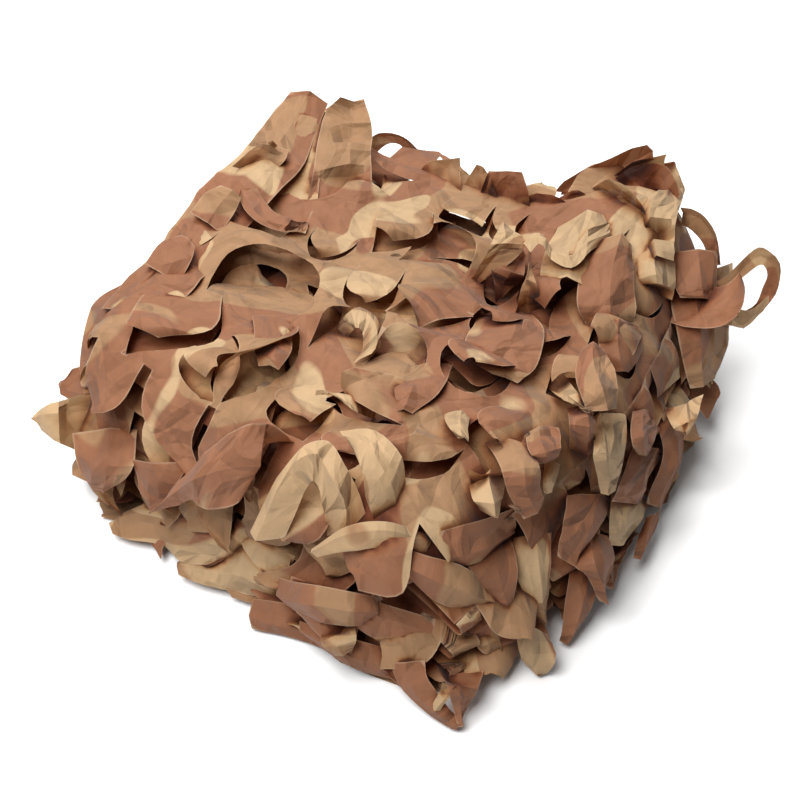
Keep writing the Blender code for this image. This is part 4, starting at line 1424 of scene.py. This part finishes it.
def add_band(cloth, pile, band, flat_start, crease):
    """A long free leaf through its lines, creased along its length at a share of its width."""
    firsts, seconds = rooted(band_edges(band), pile)
    middles = [(first + second) / 2 for first, second in zip(firsts, seconds)]
    length = sum((after - before).length for before, after in zip(middles, middles[1:]))
    count = max(int(length / BAND_STEP), BAND_STEPS)
    rows = []
    for step in range(count + 1):
        share = step / count
        first = along_curve(firsts, share)
        second = along_curve(seconds, share)
        before = along_curve(middles, max(share - BAND_AHEAD, 0.0))
        ahead = along_curve(middles, min(share + BAND_AHEAD, 1.0)) - before
        out = (second - first).cross(ahead).normalized()
        if out.dot(middles[0] - PILE_MIDDLE) < 0:
            out = -out
        width = (second - first).length
        row = []
        for column in range(BAND_COLUMNS + 1):
            part = column / BAND_COLUMNS
            up = part / crease if part < crease else (1 - part) / (1 - crease)
            point = first.lerp(second, part) + out * (band.ridge * MILLIMETRE * up)
            flat = (flat_start[0] + (part - 0.5) * width, flat_start[1] + share * length)
            row.append(cloth.add(point, flat))
            cloth.tones[row[-1]] = band.tone
        rows.append(row)
    cloth.add_grid(rows)


def ridge(point, size):
    """A crease pattern from 0 to 1, with sharp crests."""
    return (1 - abs(noise.noise(point / size))) ** 2


def crumpled(point, flat, normal):
    """A point of the cloth, moved by the pile's heave and the cloth's creases."""
    here = Vector((flat[0], flat[1], 0.0))
    height = min(point.z / WAVE_FULL, 1.0)
    heave = noise.noise_vector(point / WAVE)
    varied = CREASE_VARIED * noise.noise(here / (CREASE * CREASE_PLACES))
    crease = ridge(here, CREASE) - RIDGE_MIDDLE + varied
    fine = ridge(here + FINE_SHIFT, FINE) - RIDGE_MIDDLE
    rise = CREASE_RISE * crease + FINE_RISE * fine
    moved = point + normal * rise * (FLOOR_SHARE + (1 - FLOOR_SHARE) * height)
    for axis in range(3):
        moved[axis] += WAVE_RISE[axis] * heave[axis] * height
    return moved


def new_object(name, data):
    """An object of the scene."""
    made = bpy.data.objects.new(name, data)
    bpy.context.scene.collection.objects.link(made)
    return made


def welded(cloth):
    """The cloth's points without doubles, each with its flat place and its tone, and its faces."""
    numbers = {}
    places = []
    order = []
    for number, point in enumerate(cloth.points):
        key = tuple(round(value, WELD_DIGITS) for value in point)
        if key not in numbers:
            numbers[key] = len(places)
            places.append(None)
        order.append(numbers[key])
        places[order[-1]] = (point, cloth.flats[number], cloth.tones.get(number, 0.0))
    faces = [tuple(order[end] for end in face) for face in cloth.faces]
    return places, [face for face in faces if len(set(face)) == len(face)]


def finish_cloth(cloth):
    """The welded, crumpled cloth as an object with its flat place as its UV map."""
    places, faces = welded(cloth)
    mesh = bmesh.new()
    tone = mesh.verts.layers.float.new("tone")
    edge = mesh.verts.layers.float.new("edge")
    uv = mesh.loops.layers.uv.new("flat")
    verts = [mesh.verts.new(point) for point, _, _ in places]
    mesh.verts.index_update()
    for face in faces:
        try:
            mesh.faces.new([verts[end] for end in face])
        except ValueError:  # the face is there already
            continue
    bmesh.ops.recalc_face_normals(mesh, faces=mesh.faces)
    mesh.normal_update()
    noise.seed_set(HEAVE_SEED)
    moved = [
        crumpled(vert.co.copy(), flat, vert.normal.copy()) for vert, (_, flat, _) in zip(verts, places)
    ]
    for vert, point, (_, _, lightness) in zip(verts, moved, places):
        vert.co = point
        vert[tone] = lightness
        vert[edge] = 1.0 if vert.is_boundary else 0.0
    for face in mesh.faces:
        face.smooth = True
        for loop in face.loops:
            loop[uv].uv = places[loop.vert.index][1]
    loose = [vert for vert in mesh.verts if not vert.link_faces]
    bmesh.ops.delete(mesh, geom=loose, context="VERTS")
    for vert in mesh.verts:
        vert.co.z = max(vert.co.z, LOWEST)
    mesh.normal_update()
    for line in mesh.edges:
        line.smooth = line.calc_face_angle(0.0) < SHARP_FOLD
    data = bpy.data.meshes.new("net_cloth")
    mesh.to_mesh(data)
    mesh.free()
    add_openness(data)
    return new_object("net_cloth", data)


def face_tree(data):
    """A mesh's faces, ready to be searched."""
    return BVHTree.FromPolygons([v.co for v in data.vertices], [tuple(p.vertices) for p in data.polygons])


def look_directions():
    """Directions spread evenly over the half sphere about +z, leaning to the middle."""
    turn = math.pi * (3 - math.sqrt(5))
    for number in range(OPEN_RAYS):
        height = math.sqrt((number + 0.5) / OPEN_RAYS)
        flat = math.sqrt(1 - height * height)
        yield Vector((flat * math.cos(turn * number), flat * math.sin(turn * number), height))


def open_share(tree, looks, point, normal):
    """How much is open on one side of a place of the cloth, from 0 to 1."""
    turn = Vector((0, 0, 1)).rotation_difference(normal)
    start = point + normal * OPEN_START
    seen = 0.0
    for look in looks:
        hit = tree.ray_cast(start, turn @ look, OPEN_REACH)
        seen += 1.0 if hit[3] is None else hit[3] / OPEN_REACH
    return seen / OPEN_RAYS


def add_openness(data):
    """For each place of the cloth, how much of its surroundings is open, from 0 to 1."""
    tree = face_tree(data)
    looks = list(look_directions())
    values = []
    for vert in data.vertices:
        away = vert.co - PILE_MIDDLE
        outward = Vector([away[axis] / PILE_HALF[axis] for axis in range(3)]).normalized()
        facing = vert.normal.dot(outward)
        outer = vert.normal if facing > 0 else -vert.normal
        value = open_share(tree, looks, vert.co, outer)
        edge_on = 1.0 - abs(facing) / EDGE_ON
        if edge_on > 0:
            value += max(open_share(tree, looks, vert.co, -outer) - value, 0.0) * edge_on
        values.append(value)
    near = [[] for _ in values]
    for first, second in (tuple(edge.vertices) for edge in data.edges):
        near[first].append(values[second])
        near[second].append(values[first])
    values = [(value + sum(around) / len(around)) / 2.0 for value, around in zip(values, near)]
    layer = data.attributes.new("openness", "FLOAT", "POINT")
    layer.data.foreach_set("value", values)


def add_node(tree, kind, inputs=(), **settings):
    """A node with its settings, each input given as a value or as the socket that feeds it."""
    node = tree.nodes.new(kind)
    for name, value in settings.items():
        setattr(node, name, value)
    for name, value in dict(inputs).items():
        if isinstance(value, bpy.types.NodeSocket):
            tree.links.new(value, node.inputs[name])
        else:
            node.inputs[name].default_value = value
    return node


def calculated(tree, operation, *values):
    """The result of a sum on some values or sockets."""
    inputs = dict(enumerate(values))
    return add_node(tree, "ShaderNodeMath", inputs, operation=operation).outputs["Value"]


def mixed(tree, factor, first, second, blend="MIX"):
    """A colour between two, each given as a socket or as a plain colour."""
    inputs = {"Factor": factor, MIX_FIRST: first, MIX_SECOND: second}
    return add_node(tree, "ShaderNodeMix", inputs, data_type="RGBA", blend_type=blend).outputs[MIXED]


def ranged(tree, value, start, end, low=0.0, high=1.0):
    """A value brought from one range to another."""
    inputs = {"Value": value, "From Min": start, "From Max": end, "To Min": low, "To Max": high}
    return add_node(tree, "ShaderNodeMapRange", inputs).outputs["Result"]


def attribute(tree, name):
    """A value that the mesh holds for each of its points."""
    return add_node(tree, "ShaderNodeAttribute", attribute_name=name).outputs["Fac"]


def print_colour(tree, flat):
    """Rounded patches with clean edges, tan over brown and sand over both."""
    tone = attribute(tree, "tone")
    colour = BROWN
    for patches in PATCHES:
        moved = add_node(tree, "ShaderNodeMapping", {"Vector": flat, "Location": patches.shift})
        look = {"Vector": moved.outputs["Vector"], "Scale": patches.scale, **PATCH_NOISE}
        spots = add_node(tree, "ShaderNodeTexNoise", look)
        lighter = calculated(tree, "ADD", spots.outputs["Fac"], tone)
        colour = mixed(tree, ranged(tree, lighter, patches.low, patches.high), colour, patches.colour)
    return colour


def worn_print_and_painted_light(tree, flat):
    """The print, a little faded in places, pale at the cut edges from threads that fray and from a painted
    highlight, and darkened as painted shade deep in the folds.
    """
    fade = add_node(tree, "ShaderNodeTexNoise", {"Vector": flat, **FADE_NOISE})
    faded = ranged(tree, fade.outputs["Fac"], *FADE_FROM, *FADE)
    colour = mixed(tree, 1.0, print_colour(tree, flat), faded, "MULTIPLY")
    # Pale cut edges: threads that fray, plus a painted highlight where the edges catch the light.
    frayed_and_highlit = ranged(tree, attribute(tree, "edge"), FRAYED_AND_HIGHLIT_FROM, 1.0, 0.0, FRAYED_AND_HIGHLIT_SHARE)
    colour = mixed(tree, frayed_and_highlit, colour, FRAYED_AND_HIGHLIT)
    # Painted shade: the print is darkened where other cloth closes a place in.
    deep = add_node(tree, "ShaderNodeValToRGB", {"Fac": attribute(tree, "openness")})
    stops = deep.color_ramp.elements
    for number, (at, shade) in enumerate(PAINTED_SHADE_STOPS):
        stop = stops[number] if number < len(stops) else stops.new(at)
        stop.position = at
        stop.color = shade
    return mixed(tree, 1.0, colour, deep.outputs["Color"], "MULTIPLY")


def crumple_bump(tree, flat):
    """The flat facets and sharp creases of a crisp cloth, and its weave."""
    bend = add_node(
        tree, "ShaderNodeTexNoise", {"Vector": flat, **CRUMPLE_BEND_NOISE}, noise_dimensions="2D"
    )
    shift = add_node(
        tree, "ShaderNodeVectorMath", {0: bend.outputs["Color"], "Scale": CRUMPLE_BEND}, operation="SCALE"
    )
    bent = add_node(tree, "ShaderNodeVectorMath", {0: flat, 1: shift.outputs["Vector"]}, operation="ADD")
    height = 0.0
    for crumple in CRUMPLES:
        facets = add_node(
            tree,
            "ShaderNodeTexVoronoi",
            {"Vector": bent.outputs["Vector"], "Scale": crumple.scale},
            feature="DISTANCE_TO_EDGE",
            voronoi_dimensions="2D",
        )
        height = calculated(tree, "MULTIPLY_ADD", facets.outputs["Distance"], crumple.depth, height)
    creases = add_node(tree, "ShaderNodeBump", {"Strength": 1.0, "Distance": 1.0, "Height": height})
    threads = [
        add_node(tree, "ShaderNodeTexWave", {"Vector": flat, "Scale": WEAVE_SCALE}, bands_direction=way)
        for way in "XY"
    ]
    weave = calculated(tree, "MULTIPLY", *(thread.outputs["Fac"] for thread in threads))
    inputs = {"Height": weave, "Normal": creases.outputs["Normal"], **WEAVE}
    return add_node(tree, "ShaderNodeBump", inputs).outputs["Normal"]


def new_material(name, finish):
    """A material, its tree and its shader, with what is the same all over set on the shader."""
    material = bpy.data.materials.new(name)
    material.use_nodes = True
    tree = material.node_tree
    shader = tree.nodes["Principled BSDF"]
    for socket, value in finish.items():
        shader.inputs[socket].default_value = value
    return material, tree, shader


def printed_cloth():
    """Thin matt polyester that lets some light through."""
    material, tree, shader = new_material("printed_cloth", CLOTH_FINISH)
    flat = add_node(tree, "ShaderNodeUVMap", uv_map="flat").outputs["UV"]
    colour = worn_print_and_painted_light(tree, flat)
    normal = crumple_bump(tree, flat)
    lit = mixed(tree, 1.0, colour, LIT_THROUGH, "MULTIPLY")
    glow = add_node(tree, "ShaderNodeBsdfTranslucent", {"Color": lit, "Normal": normal})
    tree.links.new(colour, shader.inputs["Base Color"])
    tree.links.new(normal, shader.inputs["Normal"])
    sides = {"Fac": LIT_SHARE, 1: shader.outputs["BSDF"], 2: glow.outputs["BSDF"]}
    both = add_node(tree, "ShaderNodeMixShader", sides)
    tree.links.new(both.outputs["Shader"], tree.nodes["Material Output"].inputs["Surface"])
    return material


def thread_material():
    """Spun polyester thread, a little lighter along its twist."""
    material, tree, shader = new_material("sewing_thread", THREAD_FINISH)
    spot = add_node(tree, "ShaderNodeTexCoord").outputs["Object"]
    twist = add_node(tree, "ShaderNodeTexWave", {"Vector": spot, **THREAD_TWIST})
    colour = mixed(tree, twist.outputs["Fac"], THREAD_DARK, THREAD_LIGHT)
    tree.links.new(colour, shader.inputs["Base Color"])
    return material


def random_vector(tree, seed, most):
    """A random vector for each point, with the most that it has each way along each axis."""
    limits = {"Min": tuple(-value for value in most), "Max": most, "Seed": seed}
    return add_node(tree, "FunctionNodeRandomValue", limits, data_type="FLOAT_VECTOR").outputs["Value"]


def stitch_mesh(tree, length, radius):
    """One stitch, bowed up between its two ends."""
    ends = {
        "Start": {"X": calculated(tree, "MULTIPLY", length, -0.5)},
        "Middle": {"Z": calculated(tree, "MULTIPLY", length, STITCH_BOW)},
        "End": {"X": calculated(tree, "MULTIPLY", length, 0.5)},
    }
    route = {"Resolution": STITCH_STEPS}
    for name, end in ends.items():
        route[name] = add_node(tree, "ShaderNodeCombineXYZ", end).outputs["Vector"]
    stitch = add_node(tree, "GeometryNodeCurveQuadraticBezier", route).outputs["Curve"]
    outline = {"Resolution": THREAD_SIDES, "Radius": radius}
    thread = add_node(tree, "GeometryNodeCurvePrimitiveCircle", outline).outputs["Curve"]
    tube = {"Curve": stitch, "Profile Curve": thread, "Fill Caps": True}
    return add_node(tree, "GeometryNodeCurveToMesh", tube).outputs["Mesh"]


def tack_nodes(material):
    """A tree that wraps short stitches round each tack place, along the cloth there."""
    tree = bpy.data.node_groups.new("bar_tacks", "GeometryNodeTree")
    new_socket = tree.interface.new_socket
    new_socket("Places", in_out="INPUT", socket_type="NodeSocketGeometry")
    identifiers = {}
    for name, kind, value in TACK_INPUTS:
        socket = new_socket(name, in_out="INPUT", socket_type=kind)
        socket.default_value = value
        identifiers[name] = socket.identifier
    new_socket("Tacks", in_out="OUTPUT", socket_type="NodeSocketGeometry")
    given = tree.nodes.new("NodeGroupInput").outputs
    copies = add_node(
        tree,
        "GeometryNodeDuplicateElements",
        {"Geometry": given["Places"], "Amount": given["Stitches"]},
        domain="POINT",
    )
    scatter = {0: random_vector(tree, given["Seed"], (1.0, 1.0, 1.0)), "Scale": given["Spread"]}
    offset = add_node(tree, "ShaderNodeVectorMath", scatter, operation="SCALE").outputs["Vector"]
    spread = add_node(
        tree, "GeometryNodeSetPosition", {"Geometry": copies.outputs["Geometry"], "Offset": offset}
    )
    facing = add_node(tree, "GeometryNodeInputNamedAttribute", {"Name": "facing"}, data_type="FLOAT_VECTOR")
    upright = {"Vector": facing.outputs["Attribute"]}
    stand = add_node(tree, "FunctionNodeAlignRotationToVector", upright, axis="Z").outputs["Rotation"]
    swing = {"Rotation": stand, "Rotate By": random_vector(tree, given["Seed"], STITCH_SWING)}
    turn = add_node(tree, "FunctionNodeRotateRotation", swing, rotation_space="LOCAL")
    copied = {
        "Points": spread.outputs["Geometry"],
        "Instance": stitch_mesh(tree, given["Stitch Length"], given["Thread Radius"]),
        "Rotation": turn.outputs["Rotation"],
    }
    stitches = add_node(tree, "GeometryNodeInstanceOnPoints", copied).outputs["Instances"]
    real = add_node(tree, "GeometryNodeRealizeInstances", {"Geometry": stitches}).outputs["Geometry"]
    dyed = add_node(tree, "GeometryNodeSetMaterial", {"Geometry": real, "Material": material})
    add_node(tree, "NodeGroupOutput", {"Tacks": dyed.outputs["Geometry"]})
    return tree, identifiers


def bar_tacks(net):
    """The tacks on the cloth's nearest places, as one plain mesh."""
    tree = face_tree(net.data)
    found = [tree.find_nearest(seen_place(x, y, "out", TACK_OUT)) for x, y in TACK_PLACES]
    places = bpy.data.meshes.new("tack_places")
    places.from_pydata([hit[0] for hit in found], [], [])
    facing = places.attributes.new("facing", "FLOAT_VECTOR", "POINT")
    for number, (point, normal, _, _) in enumerate(found):
        facing.data[number].vector = normal if normal.dot(point - PILE_MIDDLE) > 0 else -normal
    holder = new_object("tack_places", places)
    group, identifiers = tack_nodes(thread_material())
    modifier = holder.modifiers.new("bar_tacks", "NODES")
    modifier.node_group = group
    modifier[identifiers["Seed"]] = TACK_SEED
    modifier[identifiers["Stitches"]] = TACK_STITCHES
    graph = bpy.context.evaluated_depsgraph_get()
    graph.update()
    made = bpy.data.meshes.new_from_object(holder.evaluated_get(graph), depsgraph=graph)
    made.name = "thread_tacks"
    holder.modifiers.remove(modifier)
    bpy.data.objects.remove(holder)
    for face in made.polygons:
        face.use_smooth = True
    return new_object("thread_tacks", made)


def look_from(thing, azimuth, elevation, aim, distance):
    """Places a camera or a lamp, and turns it to what it is aimed at."""
    back = towards(azimuth, elevation)
    thing.location = aim + back * distance
    thing.rotation_euler = back.to_track_quat("Z", "Y").to_euler()


def studio():
    """A pale floor, an even sky and two soft lamps."""
    scene = bpy.context.scene
    scene.view_settings.view_transform = "Standard"
    data = bpy.data.meshes.new("floor")
    corners = [(x * FLOOR_HALF, y * FLOOR_HALF, 0) for x, y in ((-1, -1), (1, -1), (1, 1), (-1, 1))]
    data.from_pydata(corners, [], [(0, 1, 2, 3)])
    data.materials.append(new_material("white_floor", FLOOR_FINISH)[0])
    new_object("floor", data)
    scene.world = bpy.data.worlds.new("studio")
    scene.world.use_nodes = True
    for socket, value in SKY.items():
        scene.world.node_tree.nodes["Background"].inputs[socket].default_value = value
    for lamp in LAMPS:
        light = bpy.data.lights.new(lamp.name, "AREA")
        light.size = lamp.size
        light.energy = lamp.power
        angles = (math.radians(lamp.azimuth), math.radians(lamp.elevation))
        look_from(new_object(lamp.name, light), *angles, Vector((0.0, 0.0, 0.0)), LAMP_DISTANCE)


def camera():
    """A camera that looks down on the pile's front corner."""
    data = bpy.data.cameras.new("camera")
    data.lens = LENS
    data.sensor_width = SENSOR
    eye = new_object("camera", data)
    look_from(eye, AZIMUTH, ELEVATION, AIM, DISTANCE)
    bpy.context.scene.camera = eye


def main():
    """The camera, the net, its tacks and the studio."""
    camera()
    net = finish_cloth(build_cloth())
    net.data.materials.append(printed_cloth())
    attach(net, "root")
    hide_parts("net")
    tacks = bar_tacks(net)
    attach(tacks, "root")
    studio()


main()
